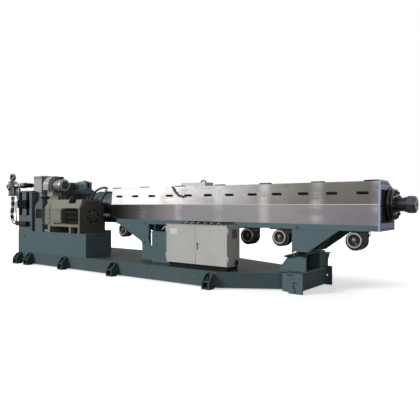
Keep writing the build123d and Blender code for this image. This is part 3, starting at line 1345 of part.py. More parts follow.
# End support: gusset plates, a pocketed column on the end box, clamp blocks and their lever
support_right = bed_right + END_SUPPORT_LENGTH
column_left = bed_right + COLUMN_START
toe_x = bed_right + END_SUPPORT_TOE
crest_x = bed_right + END_SUPPORT_CREST
lever_root_x = bed_right + LEVER_ROOT_X
with BuildPart() as end_support:
    for plate_near in (support_near, support_far - END_SUPPORT_PLATE):
        with BuildSketch(near_plane(plate_near)):
            with BuildLine():
                Polyline(
                    (toe_x, BED_TOP),
                    (toe_x, END_BOX_TOP + TOE_HEIGHT),
                    (crest_x, END_SUPPORT_TOP),
                    (support_right, END_SUPPORT_TOP),
                    (support_right, END_BOX_TOP),
                    (bed_right, END_BOX_TOP),
                    (bed_right, BED_TOP),
                    close=True,
                )
            make_face()
        extrude(amount=-END_SUPPORT_PLATE)
    with BuildSketch(level_plane(END_BOX_TOP)):
        with Locations(((column_left + support_right) / 2, (support_near + support_far) / 2)):
            Rectangle(support_right - column_left, END_SUPPORT_DEPTH - 2 * END_SUPPORT_PLATE)
    extrude(amount=COLUMN_TOP - END_BOX_TOP)
    with BuildSketch(cross_plane(support_right)):
        with Locations((support_near + POCKET_NEAR + POCKET_WIDTH / 2, POCKET_BOTTOM + POCKET_HEIGHT / 2)):
            Rectangle(POCKET_WIDTH, POCKET_HEIGHT)
    extrude(amount=-POCKET_DEPTH, mode=Mode.SUBTRACT)
    clamp_places = [(bed_right + x, axis_y + y) for x in CLAMP_XS for y in CLAMP_YS]
    with BuildSketch(level_plane(COLUMN_TOP)):
        with Locations(*clamp_places):
            Rectangle(CLAMP_WIDTH, 2 * CLAMP_WIDTH)
    extrude(amount=CLAMP_HEIGHT)
    with BuildSketch(near_plane(axis_y + LEVER_Y - LEVER_ROOT_RADIUS)):
        with Locations((lever_root_x, LEVER_ROOT_Z)):
            Circle(LEVER_ROOT_RADIUS)
    extrude(amount=axis_y + LEVER_Y - LEVER_ROOT_RADIUS - support_near - END_SUPPORT_PLATE)
    with BuildSketch(cross_plane(lever_root_x)):
        with Locations((axis_y + LEVER_Y, LEVER_ROOT_Z)):
            Circle(LEVER_ROOT_RADIUS)
    with BuildSketch(cross_plane(bed_right + LEVER_TIP_X)):
        with Locations((axis_y + LEVER_Y, LEVER_TIP_Z)):
            Circle(LEVER_TIP_RADIUS)
    loft()
end_support.part.label = "end_support"
export_step(end_support.part, "parts/end_support.step")

# Drip cup standing on its shelf: solid stem and a hollow funnel-shaped bowl
cup_waist = END_BOX_TOP + CUP_HEIGHT / 2
cup_top = END_BOX_TOP + CUP_HEIGHT
with BuildPart() as drip_cup:
    with BuildSketch(near_plane(cup_y)):
        with BuildLine():
            Polyline(
                (cup_x, END_BOX_TOP),
                (cup_x + CUP_FOOT_RADIUS, END_BOX_TOP),
                (cup_x + CUP_FOOT_RADIUS, cup_waist),
                (cup_x + CUP_RIM_RADIUS, cup_top - CUP_RIM_HEIGHT),
                (cup_x + CUP_RIM_RADIUS, cup_top),
                (cup_x + CUP_RIM_RADIUS - CUP_WALL, cup_top),
                (cup_x + CUP_RIM_RADIUS - CUP_WALL, cup_top - CUP_RIM_HEIGHT),
                (cup_x + CUP_FOOT_RADIUS - CUP_WALL, cup_waist + CUP_WALL),
                (cup_x, cup_waist + CUP_WALL),
                close=True,
            )
        make_face()
    revolve(axis=Axis((cup_x, cup_y, 0), (0, 0, 1)))
drip_cup.part.label = "drip_cup"
export_step(drip_cup.part, "parts/drip_cup.step")

# Water tank between the legs, with a rim round its lid
with BuildPart() as water_tank:
    with BuildSketch(level_plane(BED_TOP)):
        with Locations(((tank_left + tank_right) / 2, (tank_near + tank_far) / 2)):
            Rectangle(tank_right - tank_left, tank_far - tank_near)
    extrude(amount=TANK_TOP - TANK_RIM_HEIGHT - BED_TOP)
    with BuildSketch(level_plane(TANK_TOP - TANK_RIM_HEIGHT)):
        with Locations(((tank_left + tank_right) / 2, (tank_near + tank_far) / 2)):
            Rectangle(tank_right - tank_left + TANK_RIM, tank_far - tank_near + TANK_RIM)
    extrude(amount=TANK_RIM_HEIGHT)
water_tank.part.label = "water_tank"
export_step(water_tank.part, "parts/water_tank.step")

# Cooling fans under the beam: snail housing with its outlet up to the beam, inlet ring and motor
fan_first_x = cover_right - FAN_INSET
fan_count = int((fan_first_x - BEAM_LEFT) / FAN_PITCH) + 1
fan_xs = [fan_first_x - i * FAN_PITCH for i in range(fan_count)]
fan_room = FAN_END_RADIUS + LEG_CLEARANCE + LEG_PLATE / 2
free_fan_xs = [x for x in fan_xs if min(abs(x - LEFT_LEG_WEB_X), abs(x - right_web_x)) > fan_room]
fan_housing = scroll_outline(FAN_START_RADIUS, FAN_END_RADIUS, BEAM_BOTTOM - FAN_Z)
with BuildPart() as cooling_fans:
    with BuildSketch(near_plane(fan_y + FAN_DEPTH / 2)):
        with Locations(*[(x, FAN_Z) for x in free_fan_xs]):
            add(fan_housing)
    extrude(amount=FAN_DEPTH)
    with BuildSketch(near_plane(fan_y - FAN_DEPTH / 2)):
        with Locations(*[(x, FAN_Z) for x in free_fan_xs]):
            Circle(FAN_RING_OUTER)
            Circle(FAN_RING_INNER, mode=Mode.SUBTRACT)
    extrude(amount=FAN_RING_REACH)
    with BuildSketch(near_plane(fan_y + FAN_DEPTH / 2)):
        with Locations(*[(x, FAN_Z) for x in free_fan_xs]):
            Circle(FAN_MOTOR_RADIUS)
    extrude(amount=-FAN_MOTOR_REACH)
    with BuildSketch(level_plane(BEAM_BOTTOM - FAN_FLANGE_THICK)):
        with Locations(*[(x, fan_y) for x in free_fan_xs]):
            Rectangle(FAN_FLANGE_LENGTH, FAN_FLANGE_DEPTH)
    extrude(amount=FAN_FLANGE_THICK)
cooling_fans.part.label = "cooling_fans"
export_step(cooling_fans.part, "parts/cooling_fans.step")

# Heater cabinet: folded sheet body, open in front, on a recessed plinth
cabinet_right = cabinet_left + CABINET_WIDTH
cabinet_middle = (cabinet_left + cabinet_right) / 2
cabinet_far = cabinet_near + CABINET_DEPTH
body_near = cabinet_near + DOOR_THICK + DOOR_GAP
hinge_y = cabinet_near + DOOR_THICK / 2
hinge_xs = (cabinet_left - HINGE_OFFSET, cabinet_right + HINGE_OFFSET)
with BuildPart() as cabinet:
    with BuildSketch(near_plane(cabinet_far)):
        with Locations((cabinet_middle, (CABINET_BOTTOM + CABINET_TOP) / 2)):
            Rectangle(CABINET_WIDTH, CABINET_TOP - CABINET_BOTTOM)
    extrude(amount=cabinet_far - body_near)
    with BuildSketch(near_plane(cabinet_far - CABINET_WALL)):
        with Locations((cabinet_middle, (CABINET_BOTTOM + CABINET_TOP) / 2)):
            Rectangle(
                CABINET_WIDTH - 2 * CABINET_WALL, CABINET_TOP - CABINET_BOTTOM - 2 * CABINET_WALL
            )
    extrude(amount=cabinet_far - CABINET_WALL - body_near, mode=Mode.SUBTRACT)
    with BuildSketch(level_plane(BED_TOP)):
        with Locations((cabinet_middle, (body_near + cabinet_far) / 2)):
            Rectangle(CABINET_WIDTH - 2 * PLINTH_INSET, cabinet_far - body_near - 2 * PLINTH_INSET)
    extrude(amount=CABINET_BOTTOM - BED_TOP)
    for hinge_x, inward in zip(hinge_xs, (1, -1)):
        leaf_x = hinge_x + inward * (HINGE_OFFSET - HINGE_LEAF / 2)
        for hinge_z in HINGE_ZS:
            with BuildSketch(level_plane(hinge_z)):
                with Locations((hinge_x, hinge_y)):
                    Circle(HINGE_KNUCKLE_RADIUS)
                with Locations((leaf_x, (hinge_y + body_near) / 2)):
                    Rectangle(HINGE_LEAF, body_near - hinge_y + 2 * HINGE_LEAF)
            extrude(amount=HINGE_KNUCKLE_LENGTH)
            with BuildSketch(level_plane(hinge_z + HINGE_KNUCKLE_LENGTH)):
                with Locations((hinge_x, hinge_y)):
                    Circle(HINGE_PIN_RADIUS)
            extrude(amount=HINGE_KNUCKLE_LENGTH)
cabinet.part.label = "cabinet"
export_step(cabinet.part, "parts/cabinet.step")

# Cabinet doors: folded pans with a knuckle on each hinge, the right one with the latch
for side, hinge_x, inward in (("left", hinge_xs[0], 1), ("right", hinge_xs[1], -1)):
    edge_x = hinge_x + inward * (HINGE_OFFSET + DOOR_MARGIN)
    meeting_x = cabinet_middle - inward * DOOR_GAP / 2
    door_width = abs(meeting_x - edge_x)
    door_middle = (edge_x + meeting_x) / 2
    with BuildPart() as cabinet_door:
        with BuildSketch(near_plane(cabinet_near + DOOR_THICK)):
            with Locations((door_middle, (CABINET_BOTTOM + CABINET_TOP) / 2)):
                Rectangle(door_width, CABINET_TOP - CABINET_BOTTOM - 2 * DOOR_MARGIN)
        extrude(amount=DOOR_THICK)
        chamfer(cabinet_door.faces().sort_by(Axis.Y)[0].edges(), DOOR_EDGE)
        with BuildSketch(near_plane(cabinet_near + DOOR_THICK)):
            with Locations((door_middle, (CABINET_BOTTOM + CABINET_TOP) / 2)):
                Rectangle(
                    door_width - 2 * CABINET_RETURN,
                    CABINET_TOP - CABINET_BOTTOM - 2 * DOOR_MARGIN - 2 * CABINET_RETURN,
                )
        extrude(amount=DOOR_HOLLOW, mode=Mode.SUBTRACT)
        for hinge_z in HINGE_ZS:
            knuckle_z = hinge_z + HINGE_KNUCKLE_LENGTH + HINGE_CLEARANCE
            leaf_near = hinge_y - HINGE_KNUCKLE_RADIUS + HINGE_LEAF / 2
            with BuildSketch(level_plane(knuckle_z)):
                with Locations((hinge_x, hinge_y)):
                    Circle(HINGE_KNUCKLE_RADIUS)
                with Locations(((hinge_x + edge_x) / 2, leaf_near)):
                    Rectangle(abs(edge_x - hinge_x) + HINGE_LEAF, HINGE_LEAF)
                with Locations((hinge_x, hinge_y)):
                    Circle(HINGE_PIN_RADIUS + HINGE_CLEARANCE, mode=Mode.SUBTRACT)
            extrude(amount=HINGE_KNUCKLE_LENGTH)
        if side == "right":
            with BuildSketch(near_plane(cabinet_near)):
                with Locations((meeting_x - inward * CABINET_RETURN, LATCH_Z)):
                    RectangleRounded(LATCH_WIDTH, LATCH_HEIGHT, LATCH_WIDTH / 3)
            extrude(amount=LATCH_REACH)
    cabinet_door.part.label = f"cabinet_door_{side}"
    export_step(cabinet_door.part, f"parts/cabinet_door_{side}.step")

# Heater cables from the cabinet's top back to the beam
cable_first = cabinet_middle - (CABLE_COUNT - 1) * CABLE_PITCH / 2
with BuildPart() as heater_cables:
    for number in range(CABLE_COUNT):
        cable_x = cable_first + number * CABLE_PITCH
        with BuildLine() as cable_path:
            FilletPolyline(
                (cable_x, cable_y, CABINET_TOP),
                (cable_x, cable_y, CABINET_TOP + CABLE_RISE),
                (cable_x, beam_near, CABINET_TOP + CABLE_RISE),
                radius=CABLE_RISE * BEND_SHARE,
            )
        with BuildSketch(level_plane(CABINET_TOP)):
            with Locations((cable_x, cable_y)):
                Circle(CABLE_RADIUS)
        sweep(path=cable_path.line)
heater_cables.part.label = "heater_cables"
export_step(heater_cables.part, "parts/heater_cables.step")
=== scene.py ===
"""Single-screw plastic extruder: finishes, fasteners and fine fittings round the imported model.

Metres. +X runs along the screw to the die end, -Y is the operator's side, +Z is up.
"""

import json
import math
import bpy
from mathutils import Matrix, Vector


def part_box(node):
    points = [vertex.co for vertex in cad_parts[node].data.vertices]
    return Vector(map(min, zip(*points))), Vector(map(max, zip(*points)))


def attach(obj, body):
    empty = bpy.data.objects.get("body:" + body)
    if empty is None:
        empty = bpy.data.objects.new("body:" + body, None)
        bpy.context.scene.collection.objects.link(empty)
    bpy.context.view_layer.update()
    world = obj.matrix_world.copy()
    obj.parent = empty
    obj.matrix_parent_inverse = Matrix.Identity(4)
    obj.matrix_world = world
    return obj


bl_info = {
    "name": "Plastic Extruder",
    "version": (1, 0, 0),
    "blender": (4, 5, 0),
    "location": "3D View > Sidebar > Extruder",
    "description": "Finishes and fine fittings of a single-screw plastic extruder",
    "category": "Add Mesh",
}

import bpy
import numpy as np
from bpy.props import FloatProperty, FloatVectorProperty, IntProperty, PointerProperty
from mathutils import Vector

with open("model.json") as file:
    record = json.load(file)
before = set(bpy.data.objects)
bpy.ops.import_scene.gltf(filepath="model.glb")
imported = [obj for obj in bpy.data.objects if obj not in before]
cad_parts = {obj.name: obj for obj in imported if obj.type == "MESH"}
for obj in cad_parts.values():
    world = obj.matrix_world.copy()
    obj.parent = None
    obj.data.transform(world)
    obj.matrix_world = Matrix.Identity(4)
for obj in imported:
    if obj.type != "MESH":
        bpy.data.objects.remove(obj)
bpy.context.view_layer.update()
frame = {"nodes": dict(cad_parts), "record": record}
MACHINE = "machine"
TURN = 2 * math.pi
UP = np.array([0.0, 0.0, 1.0])
NEAR = np.array([0.0, -1.0, 0.0])
FAR = np.array([0.0, 1.0, 0.0])
RIGHT = np.array([1.0, 0.0, 0.0])
LEFT = np.array([-1.0, 0.0, 0.0])
POLE_RADIUS = 0.0003
CREASE = math.radians(35)


class Extent:
    """A node's box at rest: left and right along X, near and far along Y, bottom and top."""

    def __init__(self, node):
        low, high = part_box(node)
        self.left, self.near, self.bottom = low
        self.right, self.far, self.top = high
        self.middle = (np.array(low) + np.array(high)) / 2


bed = Extent("bed_frame")
end_box = Extent("bed_end_box")
gearbox_pedestal = Extent("gearbox_pedestal")
motor_pedestal = Extent("motor_pedestal")
lower_case = Extent("gearbox_lower_case")
upper_case = Extent("gearbox_upper_case")
belt_guard = Extent("belt_guard")
slotted_guard = Extent("slotted_guard")
junction_box = Extent("guard_junction_box")
coupling_guard = Extent("coupling_guard")
motor = Extent("main_motor")
bell = Extent("motor_end_bell")
duct = Extent("blower_duct")
blower = Extent("motor_blower")
filter_box = Extent("blower_filter")
drum = Extent("feed_housing")
support_block = Extent("barrel_support_block")
first_cover = Extent("barrel_cover_1")
last_cover = Extent("barrel_cover_6")
top_box = Extent("cover_top_box")
end_plate = Extent("frame_end_plate")
flange = Extent("barrel_flange")
adapter = Extent("die_adapter")
left_leg = Extent("left_leg")
right_leg = Extent("right_leg")
end_support = Extent("end_support")
tank = Extent("water_tank")
fans = Extent("cooling_fans")
left_door = Extent("cabinet_door_left")
right_door = Extent("cabinet_door_right")
cup = Extent("drip_cup")
SCREW_Y = flange.middle[1]
SCREW_Z = flange.middle[2]
COVER_COUNT = 6
COVER_PITCH = (last_cover.left - first_cover.left) / (COVER_COUNT - 1)


def on_screw(x):
    """The place on the screw's line at a distance along the machine."""
    return (x, SCREW_Y, SCREW_Z)


def srgb(red, green, blue):
    """A colour written as 0 to 255 display values, turned into the linear values that shaders take."""
    shown = np.array([red, green, blue]) / 255
    return tuple(np.where(shown <= 0.04045, shown / 12.92, ((shown + 0.055) / 1.055) ** 2.4))


# Shapes: points (n, 3) with faces grouped by their number of corners


def skin(sections, ends=True, loop=False):
    """Faces over a stack of like sections (levels, corners, 3): a quad between each four neighbours.

    The first and last sections are closed by one face each, or the stack runs round in a loop.
    """
    levels, corners = sections.shape[:2]
    index = np.arange(levels * corners).reshape(levels, corners)
    lower = index if loop else index[:-1]
    upper = np.roll(index, -1, axis=0) if loop else index[1:]
    quads = np.stack([lower, np.roll(lower, -1, 1), np.roll(upper, -1, 1), upper], -1).reshape(-1, 4)
    faces = [quads]
    if ends and not loop:
        faces += [index[:1, ::-1], index[-1:]]
    return sections.reshape(-1, 3), faces


def turned(profile, sides=24, loop=False, phase=0.0):
    """A profile of (radius, height) pairs swept round local Z: x = r cos a, y = r sin a, z = h."""
    radius, height = np.array(profile, float).T[:, :, None]
    radius = np.maximum(radius, POLE_RADIUS)
    angle = phase + np.arange(sides)[None, :] * TURN / sides
    sections = np.stack(np.broadcast_arrays(radius * np.cos(angle), radius * np.sin(angle), height), -1)
    return skin(sections, loop=loop)


def outline(width, depth, corner, steps=1):
    """Points round a rectangle with rounded corners: each corner is a quarter circle of its radius."""
    quarter = np.linspace(0, math.pi / 2, steps + 1)
    angle = quarter[None, :] + np.arange(4)[:, None] * math.pi / 2
    middle_x = np.array([1, -1, -1, 1])[:, None] * (width / 2 - corner)
    middle_y = np.array([1, 1, -1, -1])[:, None] * (depth / 2 - corner)
    x = middle_x + corner * np.cos(angle)
    y = middle_y + corner * np.sin(angle)
    return np.stack([x.ravel(), y.ravel()], -1)


def block(width, depth, height, edge=0.002, steps=1):
    """A plate or block standing on z = 0: one outline carried up, drawn in by the edge at both ends."""
    edge = min(edge, height / 3, width / 4, depth / 4)
    levels = [(0, edge), (edge, 0), (height - edge, 0), (height, edge)]
    corner = edge * 1.5
    sections = []
    for z, inset in levels:
        ring = outline(width - 2 * inset, depth - 2 * inset, corner, steps)
        sections.append(np.column_stack([ring, np.full(len(ring), z)]))
    return skin(np.array(sections))


def pipe(path, radius, sides=12):
    """A circle carried along a path: centre + r cos a * normal + r sin a * binormal at each point.

    The radius is one number, or one for each point of the path.
    """
    path = np.array(path, float)
    tangent = np.gradient(path, axis=0)
    tangent /= np.linalg.norm(tangent, axis=1, keepdims=True)
    weakest = np.eye(3)[np.argmin(np.abs(tangent).max(axis=0))]
    normal = np.cross(tangent, weakest)
    normal /= np.linalg.norm(normal, axis=1, keepdims=True)
    binormal = np.cross(tangent, normal)
    angle = (np.arange(sides) * TURN / sides)[None, :, None]
    reach = np.broadcast_to(radius, len(path))[:, None, None]
    around = np.cos(angle) * normal[:, None] + np.sin(angle) * binormal[:, None]
    return skin(path[:, None] + reach * around)


def curve_through(points, steps=8):
    """A smooth path through points: each span is a cubic whose end slopes are half the chord across."""
    points = np.array(points, float)
    slope = np.gradient(points, axis=0)
    t = np.linspace(0, 1, steps, endpoint=False)[None, :, None]
    start, end = points[:-1, None], points[1:, None]
    span = (
        (2 * t**3 - 3 * t**2 + 1) * start
        + (t**3 - 2 * t**2 + t) * slope[:-1, None]
        + (3 * t**2 - 2 * t**3) * end
        + (t**3 - t**2) * slope[1:, None]
    )
    return np.vstack([span.reshape(-1, 3), points[-1:]])


def bent_pipe(points, radius, sides=12, steps=6):
    """A round pipe along the smooth path through points."""
    return pipe(curve_through(points, steps), radius, sides)


def joined(*shapes):
    """Several shapes as one, with each one's faces counted on from the points before it."""
    starts = np.cumsum([0] + [len(points) for points, _ in shapes[:-1]])
    faces = [group + start for (_, groups), start in zip(shapes, starts) for group in groups]
    return np.vstack([points for points, _ in shapes]), faces


def facing(normal, up=UP):
    """Rotation that takes local Z to the normal and local Y as near to up as it can be."""
    z = np.array(normal, float) / np.linalg.norm(normal)
    if abs(np.dot(z, up)) > 0.99:
        up = FAR
    x = np.cross(up, z)
    x /= np.linalg.norm(x)
    return np.column_stack([x, np.cross(z, x), z])


def standing_on(spokes, axis):
    """Rotations that lay local Z along an axis and turn local Y out along each spoke."""
    return np.stack([np.column_stack([np.cross(spoke, axis), spoke, axis]) for spoke in spokes])


def copies(shape, origins, turn=None):
    """The shape once at each origin, turned first. turn is one rotation, or one for each origin."""
    points, faces = shape
    origins = np.atleast_2d(np.array(origins, float))
    turn = np.eye(3) if turn is None else np.array(turn)
    turned_points = np.einsum("...ij,pj->...pi", turn, points)
    all_points = (turned_points + origins[:, None]).reshape(-1, 3)
    step = (np.arange(len(origins)) * len(points))[:, None, None]
    return all_points, [(group[None] + step).reshape(-1, group.shape[1]) for group in faces]


def about(axis_point, axis, radius, count, phase=0.0):
    """Points and outward rotations spaced evenly round an axis, at a radius."""
    basis = facing(axis)
    angle = phase + np.arange(count) * TURN / count
    spoke = np.cos(angle)[:, None] * basis[:, 0] + np.sin(angle)[:, None] * basis[:, 1]
    return np.array(axis_point) + radius * spoke, spoke


def between(first, last, count):
    """Points spaced evenly from the first to the last."""
    return np.linspace(first, last, count)


def grid_of(*axes):
    """Every combination of the given coordinates, as points."""
    crossed = np.meshgrid(*[np.atleast_1d(axis) for axis in axes], indexing="ij")
    return np.stack(crossed, -1).reshape(-1, len(axes))


def piece(name, shape, material, body=MACHINE):
    """Puts a shape into a mesh that rides on a body, smooth except across edges over the crease angle."""
    points, groups = shape
    mesh = bpy.data.meshes.new(name)
    mesh.from_pydata(points.tolist(), [], [face for group in groups for face in group.tolist()])
    mesh.materials.append(material)
    mesh.polygons.foreach_set("use_smooth", np.ones(len(mesh.polygons), bool))
    mesh.set_sharp_from_angle(angle=CREASE)
    mesh.update()
    thing = bpy.data.objects.new(name, mesh)
    bpy.context.scene.collection.objects.link(thing)
    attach(thing, body)


def many(name, shape, places, material, way=UP, body=MACHINE):
    """One piece that holds the shape at every place, standing out in one direction."""
    piece(name, copies(shape, places, facing(way)), material, body)


# Fasteners and fittings, each standing on z = 0 about local Z


def hex_screw(size):
    """Washer and six-sided head of a screw whose thread is size across."""
    washer = turned([(size, 0), (size, size * 0.16), (size * 0.8, size * 0.18)], 18)
    head = turned([(size * 0.92, size * 0.14), (size * 0.92, size * 0.62), (size * 0.78, size * 0.76)], 6)
    return joined(washer, head)


def socket_screw(size):
    """Round head with a six-sided socket sunk in its top."""
    top = size * 0.92
    points, faces = turned(
        [(size * 0.78, 0), (size * 0.78, size * 0.8), (size * 0.68, top), (size * 0.5, top)], 18
    )
    well, (walls, _, floor) = turned(
        [(size * 0.5, top), (size * 0.44, size * 0.9), (size * 0.44, size * 0.45)], 18
    )
    return joined((points, faces[:-1]), (well, [walls, floor]))


def pan_screw(size):
    """Low domed screw head."""
    return turned([(size, 0), (size, size * 0.25), (size * 0.75, size * 0.5), (size * 0.3, size * 0.6)], 12)


def stud_nut(size, length):
    """Threaded stud with a six-sided nut partly up it."""
    ridge = np.arange(0, length, size * 0.2)
    thread = [(size * (0.5 if i % 2 else 0.44), z) for i, z in enumerate(ridge)] + [(size * 0.36, length)]
    nut_top = length * 0.55
    nut = turned([(size * 0.95, 0), (size * 0.95, nut_top), (size * 0.8, nut_top + size * 0.08)], 6)
    return joined(turned(thread, 12), nut)


def eye_bolt(size):
    """Collar, shank and an upright ring."""
    collar = turned(
        [(size, 0), (size, size * 0.35), (size * 0.55, size * 0.6), (size * 0.5, size * 0.8)], 18
    )
    circle, _ = about((0, 0, 0), UP, size * 0.3, 10)
    ring = turned(np.column_stack([circle[:, 0] + size, circle[:, 1]]), 28, loop=True)
    return joined(collar, copies(ring, [(0, 0, size * 1.7)], facing(NEAR)))


def torus(radius, thickness, sides=32, round_sides=8):
    """A round ring lying flat: a small circle swept round local Z."""
    angle = np.arange(round_sides) * TURN / round_sides
    profile = np.column_stack([radius + thickness * np.cos(angle), thickness * np.sin(angle)])
    return turned(profile, sides, loop=True)


def cable_gland(size):
    """Six-sided base under a domed nut."""
    base = turned([(1, 0), (1, 0.5)], 6)
    dome = turned([(0.85, 0.5), (0.85, 1), (0.6, 1.3), (0.4, 1.35)], 16)
    points, faces = joined(base, dome)
    return points * size, faces


def weld_bead(start, end, radius=0.006):
    """A straight bead whose radius swells and narrows in even ripples."""
    start, end = np.array(start, float), np.array(end, float)
    count = max(8, int(np.linalg.norm(end - start) / (radius * 1.6)))
    path = between(start, end, count)
    ripple = radius * (1 + 0.22 * np.sin(np.arange(count) * 2.1))
    return pipe(path, ripple, 6)


# Materials: shader nodes wired by small calls


class Shader:
    """Wires nodes in one tree. A value is a number, a colour, or another node's output."""

    def __init__(self, tree):
        self.tree = tree

    def node(self, kind, inputs=(), **settings):
        made = self.tree.nodes.new(kind)
        for key, value in settings.items():
            setattr(made, key, value)
        for key, value in dict(inputs).items():
            self.put(made.inputs[key], value)
        return made

    def put(self, socket, value):
        if isinstance(value, bpy.types.NodeSocket):
            self.tree.links.new(value, socket)
        elif isinstance(value, tuple) and len(value) == 3 and socket.type == "RGBA":
            socket.default_value = (*value, 1)
        else:
            socket.default_value = value

    def math(self, operation, first, second=0.0, clamp=False):
        inputs = {0: first, 1: second}
        return self.node("ShaderNodeMath", inputs, operation=operation, use_clamp=clamp).outputs[0]

    def blend(self, share, first, second):
        mixed = self.node("ShaderNodeMix", data_type="RGBA")
        for index, value in ((0, share), (6, first), (7, second)):
            self.put(mixed.inputs[index], value)
        return mixed.outputs[2]

    def fade(self, value, start, end, low=0.0, high=1.0):
        inputs = {"Value": value, "From Min": start, "From Max": end, "To Min": low, "To Max": high}
        return self.node("ShaderNodeMapRange", inputs, interpolation_type="SMOOTHSTEP").outputs[0]

    def noise(self, place, scale, detail=3.0):
        inputs = {"Vector": place, "Scale": scale, "Detail": detail, "Roughness": 0.55}
        return self.node("ShaderNodeTexNoise", inputs).outputs["Fac"]

    def place(self, stretch=(1, 1, 1)):
        point = self.node("ShaderNodeTexCoord").outputs["Object"]
        return self.node("ShaderNodeMapping", {"Vector": point, "Scale": stretch}).outputs["Vector"]

    def axes(self):
        return self.node("ShaderNodeSeparateXYZ", {0: self.place()}).outputs

    def bump(self, height, distance, strength=1.0):
        inputs = {"Height": height, "Distance": distance, "Strength": strength}
        return self.node("ShaderNodeBump", inputs).outputs["Normal"]


def effect(name, inputs, outputs):
    """A node group with named sockets. Returns its shader, its inputs and a call that fills its outputs."""
    tree = bpy.data.node_groups.new(name, "ShaderNodeTree")
    for socket, (kind, value) in inputs.items():
        made = tree.interface.new_socket(socket, in_out="INPUT", socket_type=kind)
        made.default_value = value
    for socket, kind in outputs.items():
        tree.interface.new_socket(socket, in_out="OUTPUT", socket_type=kind)
    shader = Shader(tree)
    source = shader.node("NodeGroupInput").outputs
    target = shader.node("NodeGroupOutput").inputs

    def fill(**values):
        for socket, value in values.items():
            shader.put(target[socket], value)

    return tree, shader, source, fill


COLOUR, NUMBER = "NodeSocketColor", "NodeSocketFloat"


def make_grime():
    """Dust that settles low down and in blotches, streaks that run down, painted shade on faces
    that look up, and rubbed edges that are partly wear and partly painted highlight.

    Blotch = noise; streak = noise stretched along Z; low dust fades out above the low reach;
    an edge is where the rounded normal leaves the flat one.
    """
    tree, s, given, fill = effect(
        "Grime",
        {
            "Color": (COLOUR, (0.2, 0.25, 0.27, 1)),
            "Dust Color": (COLOUR, (0.3, 0.28, 0.24, 1)),
            "Worn And Highlit Color": (COLOUR, (0.3, 0.3, 0.3, 1)),
            "Dust": (NUMBER, 0.35),
            "Low Reach": (NUMBER, 0.5),
            "Wear And Highlight": (NUMBER, 0.5),
        },
        {"Color": COLOUR, "Roughness": NUMBER, "Height": NUMBER},
    )
    point = s.place()
    blotch = s.noise(point, 2.6, 6)
    fine = s.noise(point, 42, 3)
    streak = s.noise(s.place((9, 9, 0.8)), 3.0, 4)
    height = s.node("ShaderNodeSeparateXYZ", {0: point}).outputs["Z"]
    low = s.fade(height, 0.0, given["Low Reach"], 1.0, 0.15)
    patches = s.math("ADD", s.math("MULTIPLY", blotch, 0.7), s.math("MULTIPLY", streak, 0.5))
    dust = s.math("MULTIPLY", s.fade(patches, 0.45, 0.85), low)
    dust = s.math("MULTIPLY", dust, given["Dust"], clamp=True)
    darker = s.blend(0.5, given["Color"], (0.02, 0.02, 0.02))
    tone = s.blend(s.fade(blotch, 0.25, 0.75, 0.0, 0.22), given["Color"], darker)
    # painted shade: faces that look up are darkened towards near black
    flat = s.node("ShaderNodeNewGeometry").outputs["Normal"]
    upward = s.node("ShaderNodeSeparateXYZ", {0: flat}).outputs["Z"]
    top_shade = s.fade(upward, 0.75, 0.98, 0.0, 0.62)
    tone = s.blend(top_shade, tone, (0.012, 0.012, 0.013))
    dusty = s.blend(dust, tone, given["Dust Color"])
    # rubbed edges: a lighter edge colour, partly wear and partly painted highlight
    rounded = s.node("ShaderNodeBevel", {"Radius": 0.008}, samples=4).outputs["Normal"]
    alike = s.node("ShaderNodeVectorMath", {0: rounded, 1: flat}, operation="DOT_PRODUCT").outputs["Value"]
    edge = s.fade(alike, 0.995, 0.9)
    rubbed_and_highlit = s.math("MULTIPLY", edge, s.fade(fine, 0.42, 0.6))
    rubbed_and_highlit = s.math("MULTIPLY", rubbed_and_highlit, given["Wear And Highlight"], clamp=True)
    color = s.blend(rubbed_and_highlit, dusty, given["Worn And Highlit Color"])
    rough = s.math("ADD", s.math("MULTIPLY", dust, 0.35), s.math("MULTIPLY", fine, 0.12))
    rough = s.math("ADD", rough, s.math("MULTIPLY", top_shade, 0.4))
    fill(Color=color, Roughness=rough, Height=s.math("ADD", fine, s.math("MULTIPLY", blotch, 0.5)))
    return tree


def make_skin():
    """Surface texture of a paint coat or casting: broad waves under a fine grain, both from noise."""
    tree, s, given, fill = effect(
        "Coat Skin", {"Grain": (NUMBER, 300.0), "Waves": (NUMBER, 0.5)}, {"Height": NUMBER}
    )
    point = s.place()
    grain = s.noise(point, given["Grain"], 2)
    wave = s.math("MULTIPLY", s.noise(point, 35, 2), given["Waves"])
    fill(Height=s.math("ADD", grain, wave))
    return tree


def make_brushed():
    """Brushed metal: noise drawn out along X as fine lines, with stains and finger marks over it."""
    tree, s, given, fill = effect(
        "Brushed Metal",
        {
            "Color": (COLOUR, (0.6, 0.6, 0.6, 1)), "Stain Color": (COLOUR, (0.3, 0.28, 0.26, 1)),
            "Stain": (NUMBER, 0.4),
        },
        {"Color": COLOUR, "Roughness": NUMBER, "Height": NUMBER},
    )
    lines = s.noise(s.place((3, 300, 300)), 1.0, 2)
    stain = s.fade(s.noise(s.place(), 5.0, 7), 0.48, 0.72, 0.0, 1.0)
    stain = s.math("MULTIPLY", stain, given["Stain"])
    lit = s.blend(s.math("MULTIPLY", lines, 0.22), given["Color"], (0.2, 0.2, 0.2))
    fill(
        Color=s.blend(stain, lit, given["Stain Color"]),
        Roughness=s.math("ADD", s.math("MULTIPLY", lines, 0.12), s.math("MULTIPLY", stain, 0.25)),
        Height=lines,
    )
    return tree


